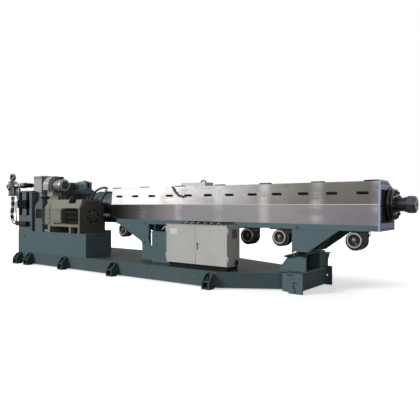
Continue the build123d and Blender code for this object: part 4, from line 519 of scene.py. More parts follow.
class Finishes:
    """Every finish of the machine, made once and kept by name."""

    def __init__(self, sizes):
        self.grime = make_grime()
        self.skin = make_skin()
        self.brushed = make_brushed()
        paint, metal = self.paint, self.metal
        frame_teal = tuple(sizes.frame_color)
        guard_grey = tuple(sizes.guard_color)
        self.machine_paint = paint("Machine Paint", frame_teal, 0.34, low=0.5, dust=0.45)
        # painted shade: the bed gets the frame colour darkened to three quarters
        self.bed_paint = paint("Shaded Bed Paint", tuple(c * 0.76 for c in frame_teal), 0.36, low=0.5, dust=0.45)
        self.foot_paint = paint("Foot Paint", tuple(c * 0.5 for c in frame_teal), 0.42, low=0.5, dust=0.5)
        self.ring_pale = paint("Pale Blower Ring", srgb(206, 206, 206), 0.35, dust=0.3)
        self.gearbox_paint = paint("Gearbox Paint", srgb(74, 90, 94), 0.42, cast=1.0, dust=0.3)
        self.guard_paint = paint("Guard Paint", guard_grey, 0.38, dust=0.25)
        self.motor_paint = paint(
            "Motor Paint", tuple(sizes.motor_color), 0.45, cast=0.7, dust=0.3, dust_color=(92, 84, 66)
        )
        self.bell_paint = paint("End Bell Paint", srgb(96, 95, 86), 0.5, cast=0.8, dust=0.35)
        self.filter_paint = paint("Filter Paint", srgb(178, 179, 181), 0.42, dust=0.15)
        # painted light: lavender standing in for the frame colour under bluish light, brightened for the
        # shaded end face
        self.end_plate_paint = paint("End Plate Paint With Painted Light", srgb(156, 164, 200), 0.32, dust=0.15)
        self.cabinet_paint = paint("Cabinet Paint", tuple(sizes.cabinet_color), 0.4, grain=520.0, dust=0.2)
        self.fan_black = paint("Fan Paint", srgb(34, 34, 36), 0.42, dust=0.35, dust_color=(96, 92, 86))
        self.black_trim = paint("Black Moulding", srgb(20, 20, 22), 0.55, dust=0.06, wear_and_highlight=0.0, gloss=0.02)
        self.cup_metal = paint("Cup Paint", srgb(132, 122, 116), 0.45, dust=0.3, wear_and_highlight=0.7)
        self.chip_white = paint("White Enamel", srgb(220, 220, 216), 0.35, dust=0.15)
        # near black: the colour of dark parts, and painted shade in holes, slots, recesses and under things
        self.dark_void = paint("Black And Painted Shade", srgb(14, 14, 14), 0.8, dust=0.1, wear_and_highlight=0.0)
        self.red_paint = paint("Red Enamel", srgb(150, 34, 26), 0.4, dust=0.15)
        self.green_wire = paint("Terminal Green", srgb(60, 92, 66), 0.5, dust=0.1, wear_and_highlight=0.0)
        self.black_steel = metal("Blackened Steel", srgb(40, 43, 49), 0.26, stain=0.3, metallic=0.75)
        self.barrel_steel = metal("Turned Steel", srgb(158, 154, 150), 0.3, stain=0.35)
        self.fastener = metal("Zinc Fastener", srgb(176, 174, 166), 0.33, stain=0.45)
        self.dark_fastener = metal("Oiled Fastener", srgb(58, 56, 54), 0.36, stain=0.3, metallic=0.8)
        self.chrome = metal("Bright Fitting", srgb(226, 226, 224), 0.14, stain=0.15)
        self.oil_unit_metal = metal("Cast Cooler Metal", srgb(104, 102, 98), 0.26, stain=0.7)
        self.brass = metal("Brass Fitting", srgb(186, 150, 84), 0.3, stain=0.35)
        self.scroll_metal = metal("Blower Metal", srgb(160, 159, 158), 0.3, stain=0.55, metallic=0.4)
        self.head_steel = metal("Worn Head Steel", srgb(66, 70, 76), 0.3, stain=0.35, metallic=0.45)
        self.clip_black = paint("Clip Black", srgb(9, 9, 10), 0.75, dust=0.0, wear_and_highlight=0.0, gloss=0.0)
        self.black_rubber = self.rubber("Black Rubber", srgb(22, 22, 22), 0.6)
        self.orange_hose = self.rubber("Orange Hose", srgb(128, 76, 46), 0.42, dark_below=1.6)
        self.cover_steel = self.cover("Cover Steel", tuple(sizes.cover_color))
        self.glass = self.sight_glass("Sight Glass")
        self.dark_paint = paint("Dark Olive Paint", srgb(34, 34, 30), 0.55, dust=0.25, gloss=0.05)
        self.upper_paint = paint("Gearbox Lid Paint", srgb(120, 144, 152), 0.42, cast=1.0, dust=0.3)
        self.dark_paint_soft = paint("Filter Band Paint", srgb(132, 126, 134), 0.45, dust=0.2)
        self.window_dark = paint("Window Shade", srgb(26, 22, 34), 0.4, dust=0.15, wear_and_highlight=0.0)
        self.blower_bright = metal("Worn Blower Metal", srgb(86, 87, 89), 0.24, stain=0.55)
        self.cover_edge = paint("Cover Edge Strip", srgb(226, 224, 220), 0.3, dust=0.12)
        self.chain_black = metal("Chain Steel", srgb(54, 46, 42), 0.4, stain=0.5, metallic=0.8)
        self.bright_black = metal("Worn And Highlit Black Edge", srgb(74, 76, 80), 0.16, stain=0.35)
        self.lever_dark = paint("Lever Grip", srgb(38, 34, 36), 0.4, dust=0.3)
        # dark teal: painted shade in the support's pocket and behind the tank
        self.deep_teal = paint("Painted Shade Teal", srgb(34, 52, 60), 0.5, dust=0.35)
        self.ring_brown = metal("Fan Inlet Ring", srgb(186, 178, 168), 0.3, stain=0.5, metallic=0.7)
        self.fan_wheel = metal("Fan Wheel", srgb(96, 91, 85), 0.5, stain=0.5, metallic=0.8)
        self.zinc_plate = metal("Mounting Plate", srgb(184, 180, 166), 0.4, stain=0.35)
        self.contactor_grey = paint("Contactor Moulding", srgb(92, 94, 96), 0.45, dust=0.3, wear_and_highlight=0.0)
        self.duct_grey = paint("Wire Duct", srgb(150, 152, 154), 0.5, dust=0.3, wear_and_highlight=0.0)
        self.vent_grey = paint("Vent Slats", srgb(150, 144, 142), 0.45, dust=0.4)

    def start(self, name):
        material = bpy.data.materials.new(name)
        material.use_nodes = True
        material.node_tree.nodes.clear()
        shader = Shader(material.node_tree)
        surface = shader.node("ShaderNodeBsdfPrincipled")
        shader.node("ShaderNodeOutputMaterial", {"Surface": surface.outputs[0]})
        return material, shader, surface.inputs

    def paint(
        self, name, color, rough, low=0.45, dust=0.3, wear_and_highlight=0.5,
        cast=0.0, grain=260.0, dust_color=(104, 98, 88), gloss=0.18,
    ):
        """Enamel or powder coat with dust, streaks, painted shade on upward faces, rubbed edges that are
        partly painted highlight, and its own skin.
        """
        material, s, shader = self.start(name)
        # edge colour: partly wear, partly painted highlight
        worn_and_highlit = tuple(min(1.0, c * 1.5 + 0.06) for c in color)
        values = {"Color": color, "Dust Color": srgb(*dust_color), "Worn And Highlit Color": worn_and_highlit, "Dust": dust}
        grime = s.node("ShaderNodeGroup", node_tree=self.grime)
        for key, value in {**values, "Low Reach": low, "Wear And Highlight": wear_and_highlight}.items():
            s.put(grime.inputs[key], value)
        skin_node = s.node("ShaderNodeGroup", node_tree=self.skin)
        skin_node.inputs["Grain"].default_value = grain
        skin_node.inputs["Waves"].default_value = 0.5 + cast
        s.put(shader["Base Color"], grime.outputs["Color"])
        s.put(shader["Roughness"], s.math("ADD", grime.outputs["Roughness"], rough - 0.06))
        s.put(shader["Normal"], s.bump(skin_node.outputs["Height"], 0.0002 + 0.0012 * cast, 0.35))
        shader["Specular IOR Level"].default_value = gloss
        return material

    def metal(self, name, color, rough, stain=0.4, metallic=1.0):
        """Bare or blackened metal with brushed lines and stains."""
        material, s, shader = self.start(name)
        brushed = s.node("ShaderNodeGroup", node_tree=self.brushed)
        dull = tuple(c * 0.45 for c in color)
        for key, value in {"Color": color, "Stain Color": dull, "Stain": stain}.items():
            s.put(brushed.inputs[key], value)
        s.put(shader["Base Color"], brushed.outputs["Color"])
        s.put(shader["Roughness"], s.math("ADD", brushed.outputs["Roughness"], rough - 0.06))
        s.put(shader["Normal"], s.bump(brushed.outputs["Height"], 0.0001, 0.3))
        shader["Metallic"].default_value = metallic
        return material

    def rubber(self, name, color, rough, dark_below=0.0):
        """Hose rubber: fine grain, dusty scuffs and a little sheen."""
        material, s, shader = self.start(name)
        point = s.place()
        scuff = s.fade(s.noise(point, 30, 5), 0.5, 0.75)
        scuffed = s.blend(s.math("MULTIPLY", scuff, 0.2), color, srgb(96, 90, 82))
        above = s.fade(s.axes()["Z"], dark_below, dark_below + 0.03)
        s.put(shader["Base Color"], s.blend(above, srgb(16, 16, 16), scuffed))
        shader["Specular IOR Level"].default_value = 0.2
        s.put(shader["Roughness"], s.math("ADD", s.math("MULTIPLY", scuff, 0.25), rough - 0.05))
        s.put(shader["Normal"], s.bump(s.noise(point, 900, 2), 0.0002, 0.4))
        return material

    def cover(self, name, color):
        """Satin cover sheet over brushed steel: lighter patches of worn film and painted sheen, with painted
        highlights at the module joints.

        Above the fold a painted reflection darkens it to the right, and below the fold a painted reflection
        runs from near black to pale.

        The joint highlight's share falls off with the distance to the nearest joint along X.
        """
        material, s, shader = self.start(name)
        brushed = s.node("ShaderNodeGroup", node_tree=self.brushed)
        for key, value in {"Color": color, "Stain Color": srgb(150, 140, 132), "Stain": 0.3}.items():
            s.put(brushed.inputs[key], value)
        axes = s.axes()
        along = s.math("DIVIDE", s.math("SUBTRACT", axes["X"], first_cover.left), COVER_PITCH)
        nearest = s.math("ABSOLUTE", s.math("SUBTRACT", s.math("FRACT", along), 0.5))
        joint = s.fade(nearest, 0.34, 0.5)
        patch = s.noise(s.place((0.5, 3, 3)), 2.2, 4)
        below = s.fade(axes["Z"], FOLD_Z + 0.005, FOLD_Z - 0.005)
        # painted reflection: above the fold the sheet darkens to the right
        upper = s.blend(s.fade(axes["X"], -0.5, 1.3), brushed.outputs["Color"], srgb(146, 145, 144))
        upper = s.blend(s.fade(axes["X"], 0.8, 3.0), upper, srgb(86, 84, 80))
        # painted reflection: below the fold from near black at the left to pale
        lower = s.blend(s.fade(axes["X"], -1.3, 0.75), srgb(9, 8, 8), srgb(138, 135, 138))
        lower = s.blend(s.fade(axes["X"], 2.2, 3.9), lower, srgb(120, 116, 122))
        tone = s.blend(below, upper, lower)
        # painted highlight at the module joints
        joint = s.math("MULTIPLY", joint, s.fade(axes["X"], -1.3, 0.2, 0.0, 1.0))
        joint = s.math("MULTIPLY", joint, s.fade(patch, 0.35, 0.65, 0.08, 0.45))
        tone = s.blend(joint, tone, srgb(206, 205, 206))
        dark_reflection_start = s.math("MULTIPLY", below, s.fade(axes["X"], 0.4, -1.2))
        # lighter patches: worn film and painted sheen, kept off the painted dark start
        worn_and_highlit = s.math("MULTIPLY", s.math("SUBTRACT", 1.0, dark_reflection_start), s.fade(patch, 0.4, 0.8, 0.0, 0.22))
        tone = s.blend(worn_and_highlit, tone, srgb(150, 140, 140))
        s.put(shader["Base Color"], tone)
        rough = s.math("ADD", brushed.outputs["Roughness"], s.fade(patch, 0.3, 0.7, 0.3, 0.42))
        s.put(shader["Roughness"], rough)
        height = s.math("ADD", brushed.outputs["Height"], s.noise(s.place(), 4, 2))
        s.put(shader["Normal"], s.bump(height, 0.0012, 0.25))
        shader["Specular IOR Level"].default_value = 0.06
        shader["Metallic"].default_value = 0.25
        return material

    def sight_glass(self, name):
        """Tinted gauge glass with smears in its roughness."""
        material, s, shader = self.start(name)
        smear = s.noise(s.place(), 60, 3)
        s.put(shader["Base Color"], s.blend(smear, srgb(214, 206, 170), srgb(170, 158, 110)))
        s.put(shader["Roughness"], s.fade(smear, 0.3, 0.7, 0.04, 0.18))
        shader["Transmission Weight"].default_value = 0.35
        return material


finishes = None
NODE_OVERRIDES = {
    "motor_blower": "scroll_metal", "cover_top_box": "chip_white", "slotted_guard": "guard_paint",
    "gearbox_upper_case": "upper_paint", "die_adapter": "head_steel", "bed_frame": "bed_paint",
    "levelling_feet": "foot_paint", "cover_clips": "clip_black",
}


# Sizes and colours that a user may change


def colour_choice(name, description, default):
    """A colour that a user may change."""
    return FloatVectorProperty(name=name, description=description, subtype="COLOR", default=default)


def length_choice(name, description, default, least):
    """A length in metres that a user may change."""
    return FloatProperty(name=name, description=description, unit="LENGTH", default=default, min=least)


def count_choice(name, description, default, least, most):
    """A whole number that a user may change."""
    return IntProperty(name=name, description=description, default=default, min=least, max=most)


class FinishSizes(bpy.types.PropertyGroup):
    frame_color: colour_choice("Frame colour", "Paint of the bed, pedestals and legs", srgb(84, 106, 112))
    guard_color: colour_choice("Guard colour", "Paint of the drive guards", srgb(94, 106, 114))
    motor_color: colour_choice("Motor colour", "Paint of the main motor", srgb(134, 135, 121))
    cabinet_color: colour_choice("Cabinet colour", "Powder coat of the heater cabinet", srgb(188, 188, 184))
    cover_color: colour_choice("Cover colour", "Sheet of the barrel covers", srgb(228, 226, 224))


class MakeFinishes(bpy.types.Operator):
    """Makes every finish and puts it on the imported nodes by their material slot"""

    bl_idname = "extruder.finishes"
    bl_label = "Finishes"

    def execute(self, context):
        global finishes
        finishes = Finishes(context.scene.extruder_finishes)
        for part in frame["record"]["subparts"]:
            node = part["node"]
            chosen = NODE_OVERRIDES.get(node, part["material_slot"])
            mesh = frame["nodes"][node].data
            mesh.materials.clear()
            mesh.materials.append(getattr(finishes, chosen))
        return {"FINISHED"}


# Bed, feet, pedestals and posts

BED_TOP = bed.top
FOOT_XS = (-3.735, -3.321, -2.104, -0.64)
LAST_NEAR_FOOT, LAST_FAR_FOOT = 1.56, 0.83
FOOT_REACH = 0.14
POST_SLOT = (2.713, 0.155, 0.104, 0.04)
POST_FACE = 0.547
POST_FACE_BOLTS = ((2.71, 0.274), (2.758, 0.274), (2.79, 0.117), (2.806, 0.083), (2.806, 0.039))


class BedSizes(bpy.types.PropertyGroup):
    bolt: length_choice("Foot bolt", "Thread of the bolts that hold the feet", 0.022, 0.005)
    bead: length_choice("Weld bead", "Radius of the weld beads", 0.006, 0.001)


def foot_places():
    """Middle and outward direction of every levelling foot along the bed's two sides."""
    near = [(x, bed.near, NEAR) for x in (*FOOT_XS, LAST_NEAR_FOOT)]
    far = [(x, bed.far, FAR) for x in (*FOOT_XS, LAST_FAR_FOOT)]
    return near + far


class MakeBedDetails(bpy.types.Operator):
    """Adds the bolts, lock nuts and weld beads of the feet, the pedestals' weld beads, and the bolts of the
    posts
    """

    bl_idname = "extruder.bed_details"
    bl_label = "Bed, feet and posts"

    def execute(self, context):
        sizes = context.scene.extruder_bed
        bolt, bead = sizes.bolt, sizes.bead
        stem_collar = turned([(0.055, 0.022), (0.055, 0.03), (0.03, 0.036), (0.03, 0.06)], 18)
        bolts, nuts, beads = [], [], []
        for x, y, out in foot_places():
            for dx, z in ((-0.036, 0.236), (0.036, 0.236), (0.0, 0.166)):
                bolts.append(copies(hex_screw(bolt), [(x + dx, y, z)], facing(out)))
            stem = y + out[1] * FOOT_REACH / 2
            nuts.append(copies(stud_nut(0.034, 0.06), [(x, stem, 0.13)]))
            nuts.append(copies(stem_collar, [(x, stem, 0)]))
            for dx in (-0.076, 0.076):
                line = (x + dx, y + out[1] * 0.003)
                beads.append(weld_bead((*line, 0.03), (*line, 0.225), bead))
        piece("foot_bolts", joined(*bolts), finishes.dark_fastener)
        piece("foot_lock_nuts", joined(*nuts), finishes.dark_fastener)
        piece("foot_weld_beads", joined(*beads), finishes.bed_paint)

        z = BED_TOP + 0.002
        drive, gears = motor_pedestal, gearbox_pedestal
        runs = [
            ((drive.left, drive.near, z), (drive.right, drive.near, z)),
            ((drive.right, drive.near, z), (drive.right, drive.far, z)),
            ((gears.right, drive.far, z), (gears.right, gears.far, z)),
            ((gears.left, gears.far, z), (gears.right, gears.far, z)),
        ]
        beads = [weld_bead(start, end, bead) for start, end in runs]
        piece("pedestal_weld_beads", joined(*beads), finishes.machine_paint)

        post_bolts = [(x, end_box.near, z) for x, z in POST_FACE_BOLTS]
        many("post_bolts", hex_screw(0.016), post_bolts, finishes.dark_fastener, NEAR)
        x, z, width, depth = POST_SLOT
        washer = copies(block(width, depth, 0.004), [(x, POST_FACE, z)], facing(FAR))
        screw = copies(hex_screw(0.016), [(x, POST_FACE + 0.004, z)], facing(FAR))
        piece("far_post_washer", joined(washer, screw), finishes.dark_fastener)
        cap = [(x, y, end_box.top) for x in (2.64, 2.78) for y in (-0.38, 0.0, 0.38)]
        many("end_box_top_bolts", hex_screw(0.016), cap, finishes.dark_fastener)

        lifting = [(x, bed.near, 0.15) for x in (-2.9, -1.1, 0.3, 1.25)]
        plug = turned([(0.024, 0), (0.024, 0.003), (0.019, 0.006), (0.008, 0.007)], 20)
        many("bed_socket_plugs", plug, lifting, finishes.machine_paint, NEAR)
        return {"FINISHED"}


# Main motor

MOTOR_Y = -0.522
MOTOR_FACE = -0.827
HUB_Z = 1.063
TERMINAL = (-2.621, -2.311, 0.92, 1.206)
VENT = (-2.231, -1.81, 0.917, 1.208)
VENT_DEPTH = 0.06


class MotorSizes(bpy.types.PropertyGroup):
    bell_bolts: count_choice("Bell bolts", "Bolts down each side of the end bell", 4, 2, 12)
    louvres: count_choice("Louvres", "Blades in the air opening", 9, 3, 24)


def frame_strip(left, right, bottom, top, width, thick):
    """Four bevelled bars round an opening, in the plane y = 0 with the bars towards -Y."""
    middle_x, middle_z = (left + right) / 2, (bottom + top) / 2
    long_bar = block(right - left + 2 * width, width, thick)
    tall_bar = block(width, top - bottom, thick)
    turn = facing(NEAR)
    return joined(
        copies(long_bar, [(middle_x, 0, top + width / 2), (middle_x, 0, bottom - width / 2)], turn),
        copies(tall_bar, [(left - width / 2, 0, middle_z), (right + width / 2, 0, middle_z)], turn),
    )


def shifted(shape, move):
    """The shape moved by a vector."""
    points, faces = shape
    return points + np.array(move), faces


class MakeMotorDetails(bpy.types.Operator):
    """Adds the end bell's bolts and hub, the louvre, the terminal cover's screws, flange bolts and eyes"""

    bl_idname = "extruder.motor_details"
    bl_label = "Main motor"

    def execute(self, context):
        sizes = context.scene.extruder_motor
        face = bell.right - 0.048
        rows = [
            (face, y, z)
            for y in (bell.near + 0.035, bell.far - 0.035)
            for z in between(0.8, 1.19, sizes.bell_bolts)
        ]
        rows += [(face, y, bell.top - 0.04) for y in between(MOTOR_Y - 0.1, MOTOR_Y + 0.1, 3)]
        many("bell_bolts", hex_screw(0.014), rows, finishes.dark_fastener, RIGHT)
        hub_face = face + 0.026
        holes, _ = about((hub_face, MOTOR_Y, HUB_Z), RIGHT, 0.069, 6)
        many("hub_bolts", socket_screw(0.011), holes, finishes.fastener, RIGHT)
        # dark discs on the bell: painted shade where the air holes are
        slots, _ = about((face + 0.001, MOTOR_Y, HUB_Z), RIGHT, 0.13, 6, 0.2)
        slot = turned([(0.026, 0), (0.026, 0.0015), (0.02, 0.0015)], 16)
        many("bell_air_holes", slot, slots, finishes.dark_void, RIGHT)
        ring = turned([(0.105, 0), (0.105, 0.006), (0.098, 0.01), (0.094, 0.01), (0.094, 0)], 40, loop=True)
        many("hub_ring", ring, [(face, MOTOR_Y, HUB_Z)], finishes.bell_paint, RIGHT)

        left, right, bottom, top = VENT
        count = sizes.louvres
        pitch = (top - bottom) / count
        # near-black blades, back and shroud: painted shade in and round the motor's air opening
        blade = np.array([(0, 0, 0), (0, 0.034, 0.022), (0, 0.034, 0.026), (0, 0, 0.004)])
        sections = np.stack([blade + (left + 0.002, 0, 0), blade + (right - 0.002, 0, 0)])
        places = [(0, MOTOR_FACE + 0.006, bottom + (i + 0.15) * pitch) for i in range(count)]
        many("vent_blades", skin(sections), places, finishes.dark_void)
        middle = ((left + right) / 2, MOTOR_FACE + VENT_DEPTH - 0.012, (bottom + top) / 2)
        back = block(right - left - 0.004, top - bottom - 0.004, 0.003, 0.001)
        many("vent_back", back, [middle], finishes.dark_void, NEAR)
        rim = frame_strip(left, right, bottom, top, 0.018, 0.008)
        many("vent_frame", rim, [(0, MOTOR_FACE, 0)], finishes.dark_paint)
        shroud = block(VENT[0] - TERMINAL[1] - 0.022, top - bottom + 0.03, 0.006)
        middle = ((VENT[0] + TERMINAL[1]) / 2 - 0.008, MOTOR_FACE, (bottom + top) / 2)
        many("vent_shroud", shroud, [middle], finishes.dark_void, NEAR)
        corners = grid_of((left - 0.009, right + 0.009), MOTOR_FACE - 0.008, (bottom - 0.009, top + 0.009))
        many("vent_frame_screws", pan_screw(0.006), corners, finishes.fastener, NEAR)

        left, right, bottom, top = TERMINAL
        lid_face = MOTOR_FACE - 0.026
        middle = [((left + right) / 2, lid_face, (bottom + top) / 2)]
        lid = block(right - left - 0.05, top - bottom - 0.06, 0.008, 0.003)
        many("terminal_lid", lid, middle, finishes.motor_paint, NEAR)
        seal = block(right - left - 0.034, top - bottom - 0.044, 0.002, 0.0006)
        many("terminal_lid_seal", seal, middle, finishes.black_rubber, NEAR)
        corners = grid_of((left + 0.042, right - 0.042), lid_face - 0.008, (bottom + 0.047, top - 0.047))
        many("terminal_lid_screws", hex_screw(0.009), corners, finishes.fastener, NEAR)
        glands = [(x, MOTOR_FACE - 0.013, bottom) for x in between(left + 0.07, right - 0.07, 3)]
        hanging = copies(cable_gland(0.016), glands, facing(-UP, RIGHT))
        piece("terminal_glands", hanging, finishes.black_trim)

        bolts = [(x, motor.near, z) for x in (-2.92, -2.765) for z in between(0.92, 1.19, 4)]
        many("drive_flange_bolts", hex_screw(0.014), bolts, finishes.motor_paint, NEAR)
        seam = block(0.006, 0.5, 0.002, 0.0006)
        many("drive_flange_seam", seam, [(-2.7365, MOTOR_FACE - 0.0035, 1.11)], finishes.dark_void, NEAR)
        eyes = [(-2.45, MOTOR_Y, motor.top), (-1.9, MOTOR_Y, motor.top)]
        many("motor_lifting_eyes", eye_bolt(0.026), eyes, finishes.dark_fastener)
        foot_bolts = [(x, y, 0.722) for x in (-2.11, -1.83) for y in (MOTOR_FACE + 0.03, MOTOR_Y + 0.27)]
        many("motor_foot_bolts", hex_screw(0.018), foot_bolts, finishes.dark_fastener)
        # painted shade: a near-black sheet under the motor's belly
        underside_shade = block(0.9, 0.5, 0.003, 0.001)
        many("motor_underside_shade", underside_shade, [(-2.25, MOTOR_Y, 0.838)], finishes.dark_void)
        slope = np.array([0.0, -0.62, 0.78])
        box = np.array([-2.05, MOTOR_FACE + 0.115, 1.335])
        body = block(0.2, 0.13, 0.085, 0.014, 3)
        many("motor_cable_box", body, [box - slope * 0.01], finishes.black_trim, slope)
        lid = block(0.17, 0.1, 0.01, 0.004, 2)
        many("motor_cable_box_lid", lid, [box + slope * 0.074], finishes.black_trim, slope)
        bends = (
            (-0.07, 0.02, 0.03), (-0.11, 0.0, 0.09), (-0.15, 0.05, 0.13), (-0.17, 0.16, 0.1),
            (-0.17, 0.2, 0.06),
        )
        piece("motor_top_conduit", bent_pipe(box + np.array(bends), 0.024, 16, 8), finishes.black_rubber)
        # painted highlight: a bright chrome plate on the motor's top chamfer
        plate = block(0.15, 0.11, 0.003, 0.001, 2)
        many("motor_top_highlight_plate", plate, [(-1.84, MOTOR_FACE + 0.112, 1.337)], finishes.chrome, slope)
        return {"FINISHED"}


# Guards, blower and oil unit

WINDOW = (-3.184, -2.97, 1.002, 1.202)
SLOT_LEFTS, SLOT_WIDTH = (-3.722, -3.444), 0.118
SLOT_BOTTOM, SLOT_TOP = 1.06, 1.575
SLOT_BACK = -0.835
BELT_GUARD_FACE = -0.79
BLOWER_Y, BLOWER_Z = -0.58, 1.706
SCROLL_RIGHT = -2.85
BLOWER_MOTOR_RADIUS = 0.136
SCROLL_TONGUE, SCROLL_SMALL, SCROLL_LARGE = math.radians(50), 0.172, 0.212
OIL_X, OIL_Y, OIL_PIPE_Z = -4.13, -0.852, 1.722
HOSE_STEPS = ((0, 0, -0.11), (0.09, -0.048, -0.25), (0.12, -0.095, -0.42), (0.15, -0.095, -0.54))


class GuardSizes(bpy.types.PropertyGroup):
    mesh_pitch: length_choice("Mesh pitch", "Spacing of the window mesh's wires", 0.014, 0.005)


class MakeGuardDetails(bpy.types.Operator):
    """Adds the window mesh, the slots' painted shade, cover screws, a seam and the junction box's leads"""

    bl_idname = "extruder.guard_details"
    bl_label = "Guards and junction box"

    def execute(self, context):
        pitch = context.scene.extruder_guards.mesh_pitch
        left, right, bottom, top = WINDOW
        face = coupling_guard.near
        middle_x, middle_z = (left + right) / 2, (bottom + top) / 2
        wire = 0.0016
        upright = copies(
            turned([(wire, 0), (wire, top - bottom)], 6),
            [(x, face + 0.004, bottom) for x in np.arange(left + pitch, right, pitch)],
        )
        level = copies(
            turned([(wire, 0), (wire, right - left)], 6),
            [(left, face + 0.007, z) for z in np.arange(bottom + pitch, top, pitch)], facing(RIGHT),
        )
        piece("window_mesh", joined(upright, level), finishes.dark_fastener)
        pane = block(right - left - 0.002, top - bottom - 0.002, 0.003, 0.001)
        many("window_back", pane, [(middle_x, face + 0.023, middle_z)], finishes.window_dark, NEAR)
        rim = frame_strip(left, right, bottom, top, 0.014, 0.005)
        many("window_frame", rim, [(0, face, 0)], finishes.guard_paint)
        screws = [
            (x, face, z)
            for x in (coupling_guard.left + 0.015, coupling_guard.right - 0.015)
            for z in between(0.76, 1.18, 4)
        ]
        many("coupling_guard_screws", pan_screw(0.008), screws, finishes.fastener, NEAR)

        guard_face = slotted_guard.near
        tall = SLOT_TOP - SLOT_BOTTOM - 0.004
        # painted shade: near-black sheets at the back and sides of each slot
        back_shades = [(x + SLOT_WIDTH / 2, SLOT_BACK - 0.002, (SLOT_BOTTOM + SLOT_TOP) / 2) for x in SLOT_LEFTS]
        back = block(SLOT_WIDTH - 0.004, tall, 0.003, 0.001)
        many("slot_back_shades", back, back_shades, finishes.dark_void, NEAR)
        wall_shades = [
            (x + dx, SLOT_BACK - 0.03, SLOT_BOTTOM + 0.002)
            for x in SLOT_LEFTS
            for dx in (0.0015, SLOT_WIDTH - 0.0015)
        ]
        many("slot_wall_shades", block(0.003, 0.056, tall, 0.0008), wall_shades, finishes.dark_void)
        sides = (slotted_guard.left + 0.03, slotted_guard.right - 0.03)
        bolts = [(x, guard_face, z) for x in sides for z in between(0.78, 1.56, 6)]
        bolts += [(slotted_guard.middle[0], guard_face, z) for z in between(0.78, 1.56, 4)]
        many("slotted_guard_bolts", hex_screw(0.011), bolts, finishes.dark_fastener, NEAR)

        box = junction_box
        lid = block(box.right - box.left - 0.03, box.top - box.bottom - 0.03, 0.004, 0.0015)
        middle = [(box.middle[0], box.near, box.middle[2])]
        many("junction_box_lid", lid, middle, finishes.black_trim, NEAR)
        xs, zs = (box.left + 0.03, box.right - 0.03), (box.bottom + 0.03, box.top - 0.03)
        corners = grid_of(xs, box.near - 0.004, zs)
        many("junction_box_screws", pan_screw(0.006), corners, finishes.chrome, NEAR)
        y, zs = box.middle[1], between(1.26, 1.37, 3)
        places = [(box.left, y, z) for z in zs]
        many("junction_box_glands", cable_gland(0.017), places, finishes.chrome, LEFT)
        leads = []
        for i, z in enumerate(zs):
            bends = [(box.left - 0.018, y, z), (box.left - 0.07, y - 0.01, z - 0.02), (-3.86, y, z - 0.15)]
            bends += [(-3.84, y, 1.02 - i * 0.03), (-3.815, y, 0.94)]
            leads.append(bent_pipe(bends, 0.009, 10))
        piece("junction_box_leads", joined(*leads), finishes.black_rubber)

        seam = block(belt_guard.right - belt_guard.left - 0.02, 0.03, 0.004, 0.0015)
        middle = [(belt_guard.middle[0] - 0.1, BELT_GUARD_FACE, 1.15)]
        many("belt_guard_seam", seam, middle, finishes.guard_paint, NEAR)
        top_screws = grid_of(between(-3.38, -3.05, 3), (-0.12, 0.07, 0.27), belt_guard.top)
        many("pulley_cover_screws", hex_screw(0.009), top_screws, finishes.fastener)
        end_screws = [(belt_guard.left, y, z) for y in (-0.16, 0.07, 0.3) for z in between(0.8, 1.6, 4)]
        many("pulley_cover_end_screws", hex_screw(0.009), end_screws, finishes.fastener, LEFT)
        return {"FINISHED"}


class BlowerSizes(bpy.types.PropertyGroup):
    fins: count_choice("Motor fins", "Cooling fins round the blower's motor", 26, 8, 60)


def on_blower(x):
    """The place on the blower's line at a distance along the machine."""
    return (x, BLOWER_Y, BLOWER_Z)


def scroll_path(steps=40):
    """The blower's snail line: radius = small + (large - small) * share of the turn since the tongue."""
    share = np.linspace(0, 1, steps)
    angle = SCROLL_TONGUE + (TURN - SCROLL_TONGUE) * share + math.pi
    radius = SCROLL_SMALL + (SCROLL_LARGE - SCROLL_SMALL) * share
    return np.column_stack([np.zeros(steps), radius * np.cos(angle), radius * np.sin(angle)])


